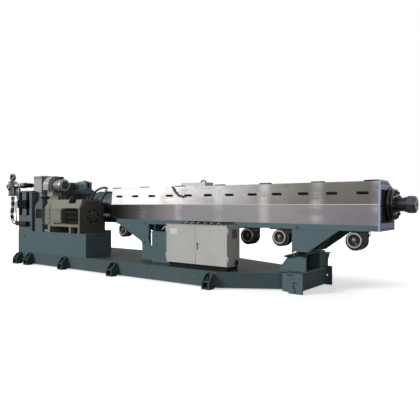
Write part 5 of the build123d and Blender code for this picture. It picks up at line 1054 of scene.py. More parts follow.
class MakeBlowerDetails(bpy.types.Operator):
    """Adds the blower's rim, bolts, fins, cowl and terminal box, and the filter's bands, clips and pleats"""

    bl_idname = "extruder.blower_details"
    bl_label = "Motor blower and filter"

    def execute(self, context):
        fins = context.scene.extruder_blower.fins
        path = scroll_path() + on_blower(SCROLL_RIGHT - 0.006)
        piece("scroll_rims", pipe(path, 0.008, 8), finishes.scroll_metal)
        ring = turned(
            [(0.176, 0), (0.176, 0.008), (0.168, 0.012), (0.142, 0.012), (0.142, 0)], 48, loop=True
        )
        many("blower_motor_ring", ring, [on_blower(SCROLL_RIGHT)], finishes.ring_pale, RIGHT)
        bolts, _ = about(on_blower(SCROLL_RIGHT + 0.012), RIGHT, 0.159, 8, 0.3)
        many("blower_ring_bolts", hex_screw(0.009), bolts, finishes.dark_fastener, RIGHT)
        start = on_blower(SCROLL_RIGHT + 0.03)
        middles, spokes = about(start, RIGHT, BLOWER_MOTOR_RADIUS + 0.004, fins)
        fin_set = copies(block(0.004, 0.012, 0.2, 0.001), middles, standing_on(spokes, RIGHT))
        piece("blower_motor_fins", fin_set, finishes.blower_bright)
        end = blower.right
        cowl = turned([(0.104, -0.03), (0.1, -0.004), (0.09, 0.001), (0.03, 0.003), (0.0, 0.003)], 36)
        many("blower_cowl_cap", cowl, [on_blower(end)], finishes.dark_paint, RIGHT)
        middle = on_blower(end + 0.004)
        rings = joined(*[torus(radius, 0.003, 40, 6) for radius in (0.03, 0.048, 0.066, 0.084)])
        spots, spokes = about(middle, RIGHT, 0.055, 6)
        bars = copies(block(0.004, 0.07, 0.003, 0.001), spots, standing_on(spokes, RIGHT))
        grille = joined(copies(rings, [middle], facing(RIGHT)), bars)
        piece("blower_cowl_grille", grille, finishes.blower_bright)
        hub = turned([(0.02, 0), (0.02, 0.008), (0.012, 0.012), (0, 0.012)], 20)
        many("blower_cowl_hub", hub, [on_blower(end + 0.003)], finishes.dark_fastener, RIGHT)
        box = block(0.11, 0.1, 0.06, 0.006, 3)
        many("blower_terminal_box", box, [(-2.72, BLOWER_Y, BLOWER_Z + 0.128)], finishes.dark_paint)
        gland = [(-2.665, BLOWER_Y, BLOWER_Z + 0.155)]
        many("blower_terminal_gland", cable_gland(0.014), gland, finishes.black_trim, RIGHT)
        tie = turned([(0.1375, -0.009), (0.1395, -0.008), (0.1395, 0.008), (0.1375, 0.009)], 48, loop=True)
        many("blower_motor_band", tie, [on_blower(-2.6)], finishes.chrome, RIGHT)

        xs = between(duct.left + 0.03, duct.right - 0.03, 4)
        duct_bolts = grid_of(xs, (duct.near + 0.011, duct.far - 0.011), duct.bottom + 0.014)
        many("duct_flange_bolts", hex_screw(0.008), duct_bolts, finishes.dark_fastener)

        width, depth = filter_box.right - filter_box.left, filter_box.far - filter_box.near
        band = []
        for z, reach in ((0, 0.0), (0.002, 0.006), (0.024, 0.006), (0.026, 0.0)):
            ring = outline(width + 2 * reach, depth + 2 * reach, 0.016, 4)
            band.append(np.column_stack([ring, np.full(len(ring), z)]))
        x, y, _ = filter_box.middle
        places = [(x, y, filter_box.bottom + 0.07), (x, y, filter_box.top - 0.06)]
        many("filter_bands", skin(np.array(band)), places, finishes.dark_paint_soft)
        clips = [
            (x, filter_box.near - 0.006, filter_box.bottom + 0.082)
            for x in (filter_box.left + 0.07, filter_box.right - 0.07)
        ]
        many("filter_clips", block(0.02, 0.05, 0.008, 0.002), clips, finishes.chrome, NEAR)
        pleats = [
            (filter_box.right + 0.001, y, filter_box.bottom + 0.13)
            for y in between(filter_box.near + 0.03, filter_box.far - 0.03, 22)
        ]
        many("filter_pleats", turned([(0.007, 0), (0.007, 0.24)], 6), pleats, finishes.dark_void)
        return {"FINISHED"}


class OilSizes(bpy.types.PropertyGroup):
    gauge: length_choice("Gauge", "Diameter of the pressure gauge", 0.064, 0.02)


class MakeOilDetails(bpy.types.Operator):
    """Adds the oil unit's hexagons, ring, gauge, hose ferrules, small pipes and clamps"""

    bl_idname = "extruder.oil_details"
    bl_label = "Oil unit"

    def execute(self, context):
        gauge = context.scene.extruder_oil.gauge
        neck_nut, body_cap = [
            turned([(radius, 0), (radius, height * 0.85), (radius * 0.86, height)], 6)
            for radius, height in ((0.06, 0.03), (0.104, 0.02))
        ]
        many("oil_neck_nut", neck_nut, [(OIL_X, OIL_Y, 1.815)], finishes.dark_fastener)
        wrap = turned([(0.0425, 0), (0.046, 0.004), (0.046, 0.3), (0.0425, 0.304)], 28, loop=True)
        many("oil_pipe_wrap", wrap, [(-3.99, OIL_Y, OIL_PIPE_Z)], finishes.zinc_plate, RIGHT)
        cap_places = [(OIL_X, OIL_Y, 1.792), (OIL_X, OIL_Y, 1.498)]
        many("oil_body_caps", body_cap, cap_places, finishes.dark_fastener)
        ring_bolts, _ = about((OIL_X, OIL_Y, 1.813), UP, 0.078, 6)
        many("oil_cap_bolts", hex_screw(0.009), ring_bolts, finishes.fastener)
        nuts = [(x, OIL_Y, OIL_PIPE_Z) for x in (-4.02, -3.84, -3.64)]
        nut = turned([(0.056, -0.016), (0.06, -0.012), (0.06, 0.012), (0.056, 0.016)], 6)
        many("oil_pipe_nuts", nut, nuts, finishes.dark_fastener, RIGHT)
        bends = ((-3.62, 0.0), (-3.56, 0.0), (-3.527, 0.03), (-3.525, 0.1))
        elbow = bent_pipe([(x, OIL_Y + y, OIL_PIPE_Z) for x, y in bends], 0.05, 20, 8)
        piece("oil_elbow_sleeve", elbow, finishes.dark_paint)
        rim = gauge / 2
        dial = turned([(rim, 0), (rim, 0.02), (rim * 0.92, 0.024), (rim * 0.88, 0.02), (0, 0.02)], 28)
        stem = turned([(0.008, 0), (0.008, 0.05)], 8)
        place = (OIL_X + 0.17, OIL_Y - 0.04, 1.81)
        many("oil_gauge_body", dial, [place], finishes.chrome, NEAR)
        glass = turned([(gauge * 0.43, 0), (gauge * 0.43, 0.002), (0, 0.003)], 28)
        many("oil_gauge_glass", glass, [(place[0], place[1] - 0.02, place[2])], finishes.glass, NEAR)
        many("oil_gauge_stem", stem, [(OIL_X + 0.17, OIL_Y - 0.032, 1.755)], finishes.brass)
        hose_guards = []
        for side in (-1, 1):
            top = np.array([OIL_X + side * 0.035, OIL_Y, 1.5])
            stops = [top] + [top + np.array(step) for step in HOSE_STEPS]
            for start, end in zip(stops[:-1], stops[1:]):
                run = between(start + 0.22 * (end - start), start + 0.78 * (end - start), 14)
                hose_guards.append(pipe(run, 0.0205 + 0.0025 * (np.arange(14) % 2), 12))
        piece("oil_hose_guards", joined(*hose_guards), finishes.black_rubber)
        ferrule = turned([(0.021, 0), (0.021, 0.03), (0.0165, 0.034), (0.0165, 0.06)], 12)
        ends = [(OIL_X - 0.035, OIL_Y, 1.437), (OIL_X + 0.035, OIL_Y, 1.437)]
        many("oil_hose_ferrules", ferrule, ends, finishes.chrome)
        risers = []
        for x, top in ((-3.98, 1.7), (-3.93, 1.69), (-3.87, 1.7), (-3.83, 1.66)):
            bends = [(x, OIL_Y, top), (x, OIL_Y, top - 0.12), (x + 0.02, OIL_Y, 1.5)]
            bends += [(x + 0.03, OIL_Y + 0.01, 1.42), (-3.79, OIL_Y - 0.04, 1.36)]
            risers.append(bent_pipe(bends, 0.011, 10))
        piece("oil_small_pipes", joined(*risers), finishes.dark_fastener)
        clamps = [(x, OIL_Y, z) for x, z in ((-3.95, 1.6), (-3.86, 1.56))]
        many("oil_pipe_clamps", block(0.07, 0.03, 0.026, 0.004, 2), clamps, finishes.chrome)
        side = turned([(0.05, 0), (0.05, 0.012), (0.042, 0.016), (0.0, 0.018)], 6)
        many("oil_side_plug", side, [(OIL_X, OIL_Y - 0.092, 1.66)], finishes.dark_fastener, NEAR)
        return {"FINISHED"}


# Gearbox and feed housing

SPLIT_Z, JOINT_THICK = 1.545, 0.03
HOOD_LEFT, HOOD_RIGHT, HOOD_RADIUS = -2.19, -1.85, 0.28
DRUM_RADIUS = 0.25
THRUST_RADIUS, THRUST_FACE = 0.178, -2.56
THRUST_THICK = 0.014
CASE_FACE = SCREW_Y - 0.19
SIDE_PORT_X, CROWN_PORT_X, PORT_TILT = -2.06, -1.998, math.radians(20)


class GearboxSizes(bpy.types.PropertyGroup):
    joint_bolts: count_choice("Joint bolts", "Bolts along each side of the housing joint", 6, 3, 12)


class MakeGearboxDetails(bpy.types.Operator):
    """Adds joint, foot and lid bolts, the breather, bearing caps, the thrust ring and the oil glass"""

    bl_idname = "extruder.gearbox_details"
    bl_label = "Gearbox"

    def execute(self, context):
        count = context.scene.extruder_gearbox.joint_bolts
        top = SPLIT_Z + JOINT_THICK
        xs = between(upper_case.left + 0.03, upper_case.right - 0.03, count)
        joint = [(x, y, top) for x in xs for y in (upper_case.near + 0.015, upper_case.far - 0.015)]
        many("gearbox_joint_bolts", hex_screw(0.013), joint, finishes.dark_fastener)
        foot = grid_of(
            between(-2.93, -2.62, 3), (SCREW_Y - 0.203, SCREW_Y + 0.203), lower_case.bottom + 0.04
        )
        many("gearbox_foot_bolts", hex_screw(0.016), foot, finishes.dark_fastener)
        middle = upper_case.middle[0]
        lid_top = upper_case.top
        cover = grid_of(
            (middle - 0.105, middle, middle + 0.105), (SCREW_Y - 0.045, SCREW_Y + 0.045), lid_top
        )
        many("gearbox_cover_bolts", hex_screw(0.009), cover, finishes.fastener)
        breather = turned([(0.02, 0), (0.02, 0.004), (0.026, 0.006), (0.026, 0.016), (0.018, 0.02)], 20)
        many("gearbox_breather", breather, [(middle + 0.05, SCREW_Y, lid_top)], finishes.dark_fastener)
        inner, outer = THRUST_RADIUS + 0.004, THRUST_RADIUS + 0.026
        ring = turned([(inner, 0), (outer, 0), (outer, THRUST_THICK), (inner, THRUST_THICK)], 56, loop=True)
        many("thrust_ring", ring, [on_screw(THRUST_FACE)], finishes.gearbox_paint, RIGHT)
        bolts, _ = about(on_screw(THRUST_FACE + THRUST_THICK), RIGHT, THRUST_RADIUS + 0.015, 14)
        many("thrust_bolts", hex_screw(0.011), bolts, finishes.dark_fastener, RIGHT)
        caps = [(-2.836, CASE_FACE, 1.3), (-2.713, CASE_FACE, 1.42)]
        cap = turned([(0.046, 0), (0.046, 0.014), (0.04, 0.018), (0.02, 0.018)], 32)
        many("bearing_caps", cap, caps, finishes.gearbox_paint, NEAR)
        cap_bolts = np.vstack([about((x, y - 0.017, z), NEAR, 0.034, 6)[0] for x, y, z in caps])
        many("bearing_cap_bolts", socket_screw(0.006), cap_bolts, finishes.dark_fastener, NEAR)
        glass_rim = turned([(0.03, 0), (0.03, 0.012), (0.024, 0.014), (0.022, 0.006), (0, 0.006)], 24)
        many("oil_level_glass", glass_rim, [(-2.78, CASE_FACE, 1.1)], finishes.brass, NEAR)
        shade = block(0.054, 0.094, 0.002, 0.0005)
        many("upper_pocket_back", shade, [(-2.6277, SCREW_Y, 1.72)], finishes.dark_void, RIGHT)
        rib = block(0.018, 0.014, 0.12, 0.003)
        ribs = [(x, SCREW_Y - 0.094, 1.66) for x in (-2.9, -2.82, -2.74, -2.66)]
        many("shoulder_ribs", rib, ribs, finishes.gearbox_paint)
        plugs = [(x, SCREW_Y - 0.09, 1.72) for x in (-2.86, -2.7)]
        many("shoulder_plugs", hex_screw(0.02), plugs, finishes.dark_fastener, NEAR)
        return {"FINISHED"}


class FeedSizes(bpy.types.PropertyGroup):
    straps: count_choice("Jacket straps", "Straps round the feed drum's right part", 2, 1, 6)


class MakeFeedDetails(bpy.types.Operator):
    """Adds the water ports' fittings, the hood's bands and screws, drum straps and the white coupling"""

    bl_idname = "extruder.feed_details"
    bl_label = "Feed housing"

    def execute(self, context):
        straps = context.scene.extruder_feed.straps
        out = np.array([0, -math.cos(PORT_TILT), math.sin(PORT_TILT)])
        lift = HOOD_RADIUS + 0.025
        ports = [on_screw(SIDE_PORT_X) + out * lift, on_screw(CROWN_PORT_X) + UP * lift]
        turns = np.stack([facing(out), facing(UP)])
        nut = [
            (0.04, -0.022), (0.04, -0.002), (0.034, 0.002), (0.026, 0.004), (0.0225, 0.004),
            (0.0225, -0.022),
        ]
        piece("port_nuts", copies(turned(nut, 6, loop=True), ports, turns), finishes.brass)
        clamp = turned([(0.0215, 0.012), (0.0245, 0.013), (0.0245, 0.026), (0.0215, 0.027)], 24, loop=True)
        piece("hose_clamps", copies(clamp, ports, turns), finishes.chrome)
        sleeve = turned([(0.022, 0.028), (0.03, 0.03), (0.03, 0.062), (0.022, 0.064)], 20, loop=True)
        piece("hose_sleeves", copies(sleeve, ports, turns), finishes.black_rubber)
        inner, outer = HOOD_RADIUS - 0.002, HOOD_RADIUS + 0.004
        band = turned([(inner, -0.012), (outer, -0.01), (outer, 0.01), (inner, 0.012)], 72, loop=True)
        places = [on_screw(HOOD_LEFT + 0.04), on_screw(HOOD_RIGHT - 0.04)]
        many("hood_bands", band, places, finishes.gearbox_paint, RIGHT)
        screws, spokes = about(on_screw(HOOD_RIGHT - 0.04), RIGHT, HOOD_RADIUS + 0.003, 16)
        turns = np.stack([facing(spoke) for spoke in spokes])
        piece("hood_screws", copies(hex_screw(0.008), screws, turns), finishes.dark_fastener)
        inner, outer = DRUM_RADIUS - 0.002, DRUM_RADIUS + 0.003
        tie = turned([(inner, -0.014), (outer, -0.012), (outer, 0.012), (inner, 0.014)], 72, loop=True)
        places = [on_screw(x) for x in between(HOOD_RIGHT + 0.1, -1.44, straps)]
        many("drum_straps", tie, places, finishes.gearbox_paint, RIGHT)
        inner = THRUST_RADIUS
        ring = turned(
            [(inner, 0), (inner + 0.03, 0.002), (inner + 0.034, 0.01), (inner, 0.012)], 56, loop=True
        )
        many("dome_ring", ring, [on_screw(drum.left - 0.0125)], finishes.dark_fastener, RIGHT)

        near = support_block.near
        collar = [
            (0.028, 0), (0.028, 0.07), (0.036, 0.074), (0.036, 0.1), (0.028, 0.104), (0.028, 0.17),
            (0.022, 0.172),
        ]
        many(
            "white_coupling", turned(collar, 20), [(-1.655, near - 0.03, 1.085)], finishes.chip_white, RIGHT
        )
        rests = [(x, near - 0.004, 1.03) for x in (-1.62, -1.52)]
        many("coupling_brackets", block(0.04, 0.05, 0.03, 0.003), rests, finishes.dark_fastener)
        bolts = grid_of((support_block.left + 0.04, support_block.right - 0.04), near, (0.99, 1.25))
        many("support_block_bolts", hex_screw(0.02), bolts, finishes.dark_fastener, NEAR)
        return {"FINISHED"}


# Barrel covers, end plate and die end

FOLD_Z = 1.3
COVER_TOP_NEAR = -0.336
LEAN = math.atan2(COVER_TOP_NEAR - first_cover.near, first_cover.top - FOLD_Z)
PANEL_OUT = np.array([0, -math.cos(LEAN), math.sin(LEAN)])
PANEL_UP = np.array([0, math.sin(LEAN), math.cos(LEAN)])
HANDLE_Z = 1.46
HANDLE_PITCH = 0.44
CHAIN = ((0.30, 1.605), (0.345, 1.545), (0.40, 1.495), (0.47, 1.452), (0.56, 1.437))
RECESS = (-0.333, 0.25, 1.045, 1.5)


class CoverSizes(bpy.types.PropertyGroup):
    screw_pitch: length_choice("Screw pitch", "Spacing of the screws along the covers' rim", 0.22, 0.05)
    link: length_choice("Chain link", "Length of one link of the keeper chain", 0.052, 0.01)


def panel_point(x, z, lift=0.0):
    """A point on the covers' near upper panel at a height, lifted off along the panel's normal."""
    climb = PANEL_UP * (z - FOLD_Z) / PANEL_UP[2]
    return np.array([x, first_cover.near, FOLD_Z]) + climb + PANEL_OUT * lift


class MakeCoverDetails(bpy.types.Operator):
    """Adds joint strips, the fold beads, screws, the keeper chain and the top box's handle and lid"""

    bl_idname = "extruder.cover_details"
    bl_label = "Barrel covers"

    def execute(self, context):
        sizes = context.scene.extruder_covers
        left, right = first_cover.left, last_cover.right
        panel_turn = np.column_stack([RIGHT, PANEL_UP, PANEL_OUT])
        y = first_cover.near - 0.001
        bead = pipe([(left + 0.002, y, FOLD_Z), (right - 0.002, y, FOLD_Z)], 0.005, 8)
        piece("fold_bead", bead, finishes.cover_edge)
        joints = [left + COVER_PITCH * i for i in range(1, COVER_COUNT)]
        tall = (1.6 - FOLD_Z) / PANEL_UP[2]
        strip = block(0.022, tall, 0.002, 0.0008)
        middles = [panel_point(x, (1.6 + FOLD_Z) / 2) for x in joints]
        low_strip = block(0.022, FOLD_Z - first_cover.bottom - 0.01, 0.002, 0.0008)
        low = [(x, first_cover.near, (FOLD_Z + first_cover.bottom) / 2) for x in joints]
        strips = joined(copies(strip, middles, panel_turn), copies(low_strip, low, facing(NEAR)))
        piece("cover_joint_strips", strips, finishes.cover_steel)
        xs = np.arange(left + 0.11, right, sizes.screw_pitch)
        rows = [(x, first_cover.near, first_cover.bottom + 0.03) for x in xs]
        many("cover_rim_screws", pan_screw(0.006), rows, finishes.fastener, NEAR)
        handle_xs = left + HANDLE_PITCH * (np.arange(2 * COVER_COUNT) + 0.5)
        ends = [panel_point(x + dx, HANDLE_Z, 0.0145) for x in handle_xs for dx in (-0.071, 0.071)]
        piece("handle_screws", copies(pan_screw(0.005), ends, panel_turn), finishes.dark_fastener)

        route = curve_through([panel_point(x, z, 0.024) for x, z in CHAIN], 24)
        steps = np.linalg.norm(np.diff(route, axis=0), axis=1)
        reach = np.concatenate([[0], np.cumsum(steps)])
        count = int(reach[-1] / (sizes.link * 0.68))
        at = np.linspace(0, reach[-1], count)
        centres = np.stack([np.interp(at, reach, route[:, i]) for i in range(3)], -1)
        heading = np.gradient(centres, axis=0)
        heading /= np.linalg.norm(heading, axis=1, keepdims=True)
        around = np.arange(16) * TURN / 16
        oval = np.stack([np.cos(around) * 0.56, np.sin(around) * 0.31, around * 0], -1) * sizes.link
        outward = oval / np.linalg.norm(oval, axis=1, keepdims=True)
        angle = (np.arange(6) * TURN / 6)[None, :, None]
        wire = 0.0075
        rim = oval[:, None] + wire * (np.cos(angle) * outward[:, None] + np.sin(angle) * UP)
        link = skin(rim, loop=True)
        turns = []
        for i, way in enumerate(heading):
            flat = PANEL_OUT if i % 2 else np.cross(PANEL_OUT, way)
            across = np.cross(flat, way)
            across /= np.linalg.norm(across)
            turns.append(np.column_stack([way, across, np.cross(way, across)]))
        piece("keeper_chain", copies(link, centres, np.array(turns)), finishes.chain_black)
        hooks = [panel_point(*CHAIN[0], 0.0), panel_point(*CHAIN[-1], 0.0)]
        piece("chain_lugs", copies(hex_screw(0.012), hooks, panel_turn), finishes.dark_fastener)

        grip_top = top_box.top
        start = np.array([top_box.right - 0.11, top_box.near + 0.03, grip_top])
        bends = ((0, 0, 0), (0, 0, 0.02), (0.02, 0, 0.03), (0.07, 0, 0.03), (0.09, 0, 0.02), (0.09, 0, 0))
        piece("top_box_handle", bent_pipe(start + np.array(bends), 0.011, 10, 5), finishes.black_trim)
        lid = block(
            top_box.right - top_box.left - 0.03, top_box.far - top_box.near - 0.03, 0.004, 0.0015, 2
        )
        x, y, _ = top_box.middle
        many("top_box_lid", lid, [(x, y, grip_top - 0.001)], finishes.filter_paint)
        xs, ys = (top_box.left + 0.03, top_box.right - 0.03), (top_box.near + 0.03, top_box.far - 0.03)
        corners = grid_of(xs, ys, grip_top + 0.003)
        many("top_box_screws", pan_screw(0.006), corners, finishes.fastener)
        y = last_cover.far - 0.002
        bead = pipe([(left + 0.01, y, FOLD_Z), (right - 0.01, y, FOLD_Z)], 0.006, 8)
        piece("far_fold_bead", bead, finishes.cover_edge)
        return {"FINISHED"}


class DieSizes(bpy.types.PropertyGroup):
    bolts: count_choice("Flange bolts", "Socket screws round the barrel flange", 12, 4, 24)


class MakeDieDetails(bpy.types.Operator):
    """Adds the window's painted shade, plate screws, flange bolts and lighter bands that are partly wear and
    partly painted highlight, stud nuts and the head's hexagon
    """

    bl_idname = "extruder.die_details"
    bl_label = "End plate and die end"

    def execute(self, context):
        count = context.scene.extruder_die.bolts
        near, far, bottom, top = RECESS
        face = end_plate.right
        # painted shade: a near-black sheet at the back of the end plate's recess
        pane = block(0.003, far - near - 0.004, top - bottom - 0.004, 0.0008)
        many("window_shade_pane", pane, [(face - 0.0125, (near + far) / 2, bottom + 0.002)], finishes.dark_void)
        points, faces = frame_strip(near, far, bottom, top, 0.012, 0.003)
        turned_rim = np.column_stack([face - points[:, 1], points[:, 0], points[:, 2]])
        piece("window_rim", (turned_rim, faces), finishes.end_plate_paint)
        screws = [(face, end_plate.near + 0.03, z) for z in between(0.97, 1.28, 4)]
        screws += [(face, y, 0.965) for y in between(end_plate.near + 0.16, end_plate.far - 0.04, 4)]
        screws += [(face, y, 1.585) for y in (-0.3, -0.18, -0.06)]
        many("end_plate_screws", hex_screw(0.012), screws, finishes.dark_fastener, RIGHT)

        outer = on_screw(flange.right)
        places, _ = about(outer, RIGHT, 0.172, count, 0.13)
        many("flange_screws", socket_screw(0.024), places, finishes.dark_fastener, RIGHT)
        side, spokes = about(on_screw(flange.left + 0.02), RIGHT, 0.229, count, 0.13)
        turns = np.stack([facing(spoke) for spoke in spokes])
        piece("flange_side_screws", copies(socket_screw(0.014), side, turns), finishes.dark_fastener)
        # lighter glossy bands at the flange's ring edges: partly wear, partly painted highlight
        for name, inner, x in (("worn_and_highlit", 0.2312, flange.left), ("front", 0.2142, flange.left + 0.05)):
            rim = inner + 0.0013
            band = turned([(inner, 0.011), (rim, 0.014), (rim, 0.028), (inner, 0.031)], 72, loop=True)
            many(f"flange_{name}_band", band, [on_screw(x)], finishes.bright_black, RIGHT)

        nuts, _ = about(outer, RIGHT, 0.095, 6)
        nut = turned(
            [(0.024, 0.0), (0.024, 0.02), (0.02, 0.024), (0.0125, 0.024), (0.0125, 0.0)], 6, loop=True
        )
        many("stud_nuts", nut, np.vstack([nuts, nuts + RIGHT * 0.122]), finishes.dark_fastener, RIGHT)
        head_left = adapter.right - 0.115
        flats = [(0.124, 0.0), (0.135, 0.01), (0.135, 0.072), (0.124, 0.082), (0.112, 0.082), (0.112, 0.0)]
        hexagon = turned(flats, 6, loop=True)
        many("head_hexagon", hexagon, [on_screw(head_left + 0.014)], finishes.head_steel, RIGHT)
        bore = turned([(0.036, 0), (0.036, 0.001), (0.03, 0.0015), (0.03, 0.0)], 40, loop=True)
        many("melt_bore_ring", bore, [on_screw(adapter.right - 0.0018)], finishes.barrel_steel, RIGHT)
        return {"FINISHED"}


# Cooling fans, legs, end support, tank and cup

FAN_XS = tuple(3.612 - 0.581 * i for i in (0, 1, 2, 3, 4, 5, 6, 8))
FAN_Z = 0.803
FAN_FACE = fans.near


class FanSizes(bpy.types.PropertyGroup):
    blades: count_choice("Blades", "Blades of each fan wheel", 18, 5, 40)


class MakeFanDetails(bpy.types.Operator):
    """Adds each fan's wheel, inlet ring, finger guard, motor ribs, outlet bolts and cable box"""

    bl_idname = "extruder.fan_details"
    bl_label = "Barrel cooling fans"

    def execute(self, context):
        count = context.scene.extruder_fans.blades
        fronts = [(x, FAN_FACE, FAN_Z) for x in FAN_XS]
        lip = [
            (0.083, -0.002), (0.088, 0.0045), (0.104, 0.0045), (0.109, -0.002), (0.109, -0.014),
            (0.083, -0.014),
        ]
        many("fan_inlet_rings", turned(lip, 48, loop=True), fronts, finishes.ring_brown, NEAR)
        spin = np.arange(count) * TURN / count
        root = np.stack([np.cos(spin) * 0.034, np.sin(spin) * 0.034], -1)
        tip = np.stack([np.cos(spin + 0.28) * 0.078, np.sin(spin + 0.28) * 0.078], -1)
        blades = []
        for (rx, ry), (tx, ty) in zip(root, tip):
            low = np.array([(rx, ry, -0.012), (tx, ty, -0.012), (tx, ty, -0.0105), (rx, ry, -0.0105)])
            high = low + (0, 0, 0.006)
            high[:, :2] *= 1.005
            blades.append(skin(np.stack([low, high])))
        wheel = joined(*blades, turned([(0.036, -0.0145), (0.036, 0.0), (0.02, 0.006), (0.0, 0.007)], 24))
        many("fan_wheels", wheel, fronts, finishes.fan_wheel, NEAR)
        rings = joined(*[torus(radius, 0.0016, 36, 5) for radius in (0.03, 0.048, 0.066)])
        guard = shifted(rings, (0, 0, 0.006))
        many("fan_finger_guards", guard, fronts, finishes.dark_fastener, NEAR)
        ring_bolts = np.vstack([about((x, FAN_FACE + 0.016, FAN_Z), NEAR, 0.112, 6)[0] for x in FAN_XS])
        many("fan_ring_bolts", hex_screw(0.006), ring_bolts, finishes.dark_fastener, NEAR)
        fins, spokes = about((0, 0, 0), FAR, 0.0645, 18)
        motor_fins = copies(block(0.003, 0.012, 0.076, 0.0008), fins, standing_on(spokes, FAR))
        motors = [(x, FAN_FACE + 0.15, FAN_Z) for x in FAN_XS]
        many("fan_motor_fins", motor_fins, motors, finishes.fan_black)
        boxes = [(x + 0.16, FAN_FACE + 0.05, FAN_Z + 0.075) for x in FAN_XS]
        many("fan_cable_boxes", block(0.05, 0.05, 0.03, 0.004, 2), boxes, finishes.fan_black, RIGHT)
        bends = [(0.172, -0.03, 0.06), (0.2, -0.03, 0.07), (0.205, -0.02, 0.1), (0.18, 0.0, 0.132)]
        middles = [(x, FAN_FACE + 0.081, FAN_Z) for x in FAN_XS]
        many("fan_leads", bent_pipe(bends, 0.006, 8), middles, finishes.black_rubber)
        bolts = [(x + dx, FAN_FACE + 0.009, 0.919) for x in FAN_XS for dx in (-0.14, -0.05, 0.05, 0.14)]
        hanging = copies(hex_screw(0.007), bolts, facing(-UP, RIGHT))
        piece("fan_flange_bolts", hanging, finishes.dark_fastener)
        return {"FINISHED"}


class LegSizes(bpy.types.PropertyGroup):
    grip: length_choice("Grip", "Thickness of the clamp lever's grip", 0.019, 0.01)


class MakeLegDetails(bpy.types.Operator):
    """Adds the legs' bolts and welds, the end support's grip and clamps, and tank and cup fittings"""

    bl_idname = "extruder.leg_details"
    bl_label = "Legs, end support, tank and cup"

    def execute(self, context):
        grip = context.scene.extruder_legs.grip
        face = left_leg.near
        bolts = [(-0.398, face, 0.965), (-0.398, face, 0.587), (right_leg.left + 0.09, face, 0.965)]
        many("leg_face_bolts", hex_screw(0.018), bolts, finishes.dark_fastener, NEAR)
        spans = ((left_leg.left + 0.03, left_leg.right), (right_leg.left, right_leg.right - 0.03))
        y, z = face - 0.001, 0.936
        beads = [weld_bead((start, y, z), (end, y, z)) for start, end in spans]
        piece("leg_weld_beads", joined(*beads), finishes.machine_paint)
        sole = grid_of((-0.44, -0.16), (face + 0.12, left_leg.far - 0.12), left_leg.bottom + 0.02)
        many("leg_sole_bolts", hex_screw(0.018), sole, finishes.dark_fastener)

        root, tip = np.array([2.756, -0.29, 0.57]), np.array([2.513, -0.29, 0.506])
        way = (tip - root) / np.linalg.norm(tip - root)
        path = [root + way * t for t in (0.02, 0.06, 0.1, 0.15, 0.2, 0.236, 0.2455)]
        radii = np.array([1.32, 1.2, 1.1, 1.02, 0.98, 0.9, 0.72]) * grip
        piece("lever_grip", pipe(path, radii, 18), finishes.lever_dark)
        hub = turned([(0.032, -0.006), (0.034, 0.0), (0.034, 0.03), (0.028, 0.036), (0.0, 0.037)], 6)
        many("lever_hub", hub, [(2.756, -0.31, 0.57)], finishes.lever_dark, NEAR)
        screws = [(x, -0.2, 0.566) for x in (2.61, 2.7, 2.8)]
        many("clamp_screws", stud_nut(0.026, 0.05), screws, finishes.dark_fastener)
        knob = turned([(0.022, 0), (0.026, 0.01), (0.026, 0.026), (0.018, 0.036), (0, 0.038)], 16)
        many("clamp_knobs", knob, [(2.64, -0.262, 0.535), (2.81, -0.262, 0.545)], finishes.lever_dark, NEAR)
        # painted shade: a dark teal sheet at the back of the end support's pocket
        plate = block(0.466, 0.24, 0.003, 0.001)
        many("pocket_back", plate, [(end_support.right - 0.166, 0.019, 0.422)], finishes.deep_teal, RIGHT)
        edge = weld_bead((2.45, -0.252, 0.288), (2.83, -0.252, 0.288))
        piece("support_weld", edge, finishes.machine_paint)

        rim = [(x, tank.near, tank.top - 0.012) for x in between(tank.left + 0.03, tank.right - 0.03, 6)]
        many("tank_rim_bolts", hex_screw(0.007), rim, finishes.dark_fastener, NEAR)
        # painted shade: a dark teal pipe filling the gap between leg and tank
        bends = [(-0.17, -0.3, 0.935), (-0.17, -0.3, 0.8), (-0.17, -0.3, 0.6)]
        bends += [(-0.165, -0.3, 0.45), (-0.13, -0.34, 0.4), (-0.05, -0.42, 0.39)]
        piece("tank_riser", bent_pipe(bends, 0.042, 20), finishes.deep_teal)
        tank_bolts = [(0.067, tank.near + 0.007, 0.735), (0.067, tank.near + 0.007, 0.561)]
        many("tank_bolts", hex_screw(0.012), tank_bolts, finishes.dark_fastener, NEAR)
        tap = turned([(0.016, 0), (0.016, 0.03), (0.022, 0.032), (0.022, 0.04), (0.012, 0.042)], 12)
        many("tank_drain", tap, [(0.42, tank.near + 0.007, 0.31)], finishes.brass, NEAR)
        cap = turned([(0.05, 0), (0.05, 0.02), (0.044, 0.026), (0, 0.028)], 24)
        many("tank_filler_cap", cap, [(0.14, tank.middle[1], tank.top)], finishes.black_trim)

        lip = [(0.0625, -0.012), (0.084, 0.006), (0.086, 0.012), (0.083, 0.013), (0.0605, -0.004)]
        x, y, _ = cup.middle
        many("cup_lip", turned(lip, 40, loop=True), [(x, y, cup.top)], finishes.chip_white)
        hoop = turned([(0.0385, 0), (0.0405, 0.002), (0.0405, 0.012), (0.0385, 0.014)], 32, loop=True)
        hoops = [(x, y, cup.bottom + 0.012), (x, y, cup.bottom + 0.085)]
        many("cup_hoops", hoop, hoops, finishes.dark_fastener)
        melt = turned([(0.034, 0.002), (0.03, 0.01), (0.016, 0.016), (0, 0.018)], 20)
        many("cup_melt", melt, [(x, y, cup.bottom + 0.114)], finishes.dark_void)
        return {"FINISHED"}


# Heater cabinet

CABINET_FACE = -0.853
CABINET_NEAR, CABINET_SIDE, CABINET_TOP = -0.831, 1.837, 0.97
PLINTH = (0.618, 1.809, 0.265, 0.34)
LABEL = (0.675, 0.829, 0.813, 0.908)
SIDE_VENT = (-0.723, -0.584, 0.77, 0.912)
CABLE_HOLE = (-0.605, 0.386)
PLATE_LEFT, PLATE_RIGHT, PLATE_BACK = 0.63, 1.797, -0.53
MEETING_X = (left_door.right + right_door.left) / 2
LATCH_X = right_door.left + 0.026


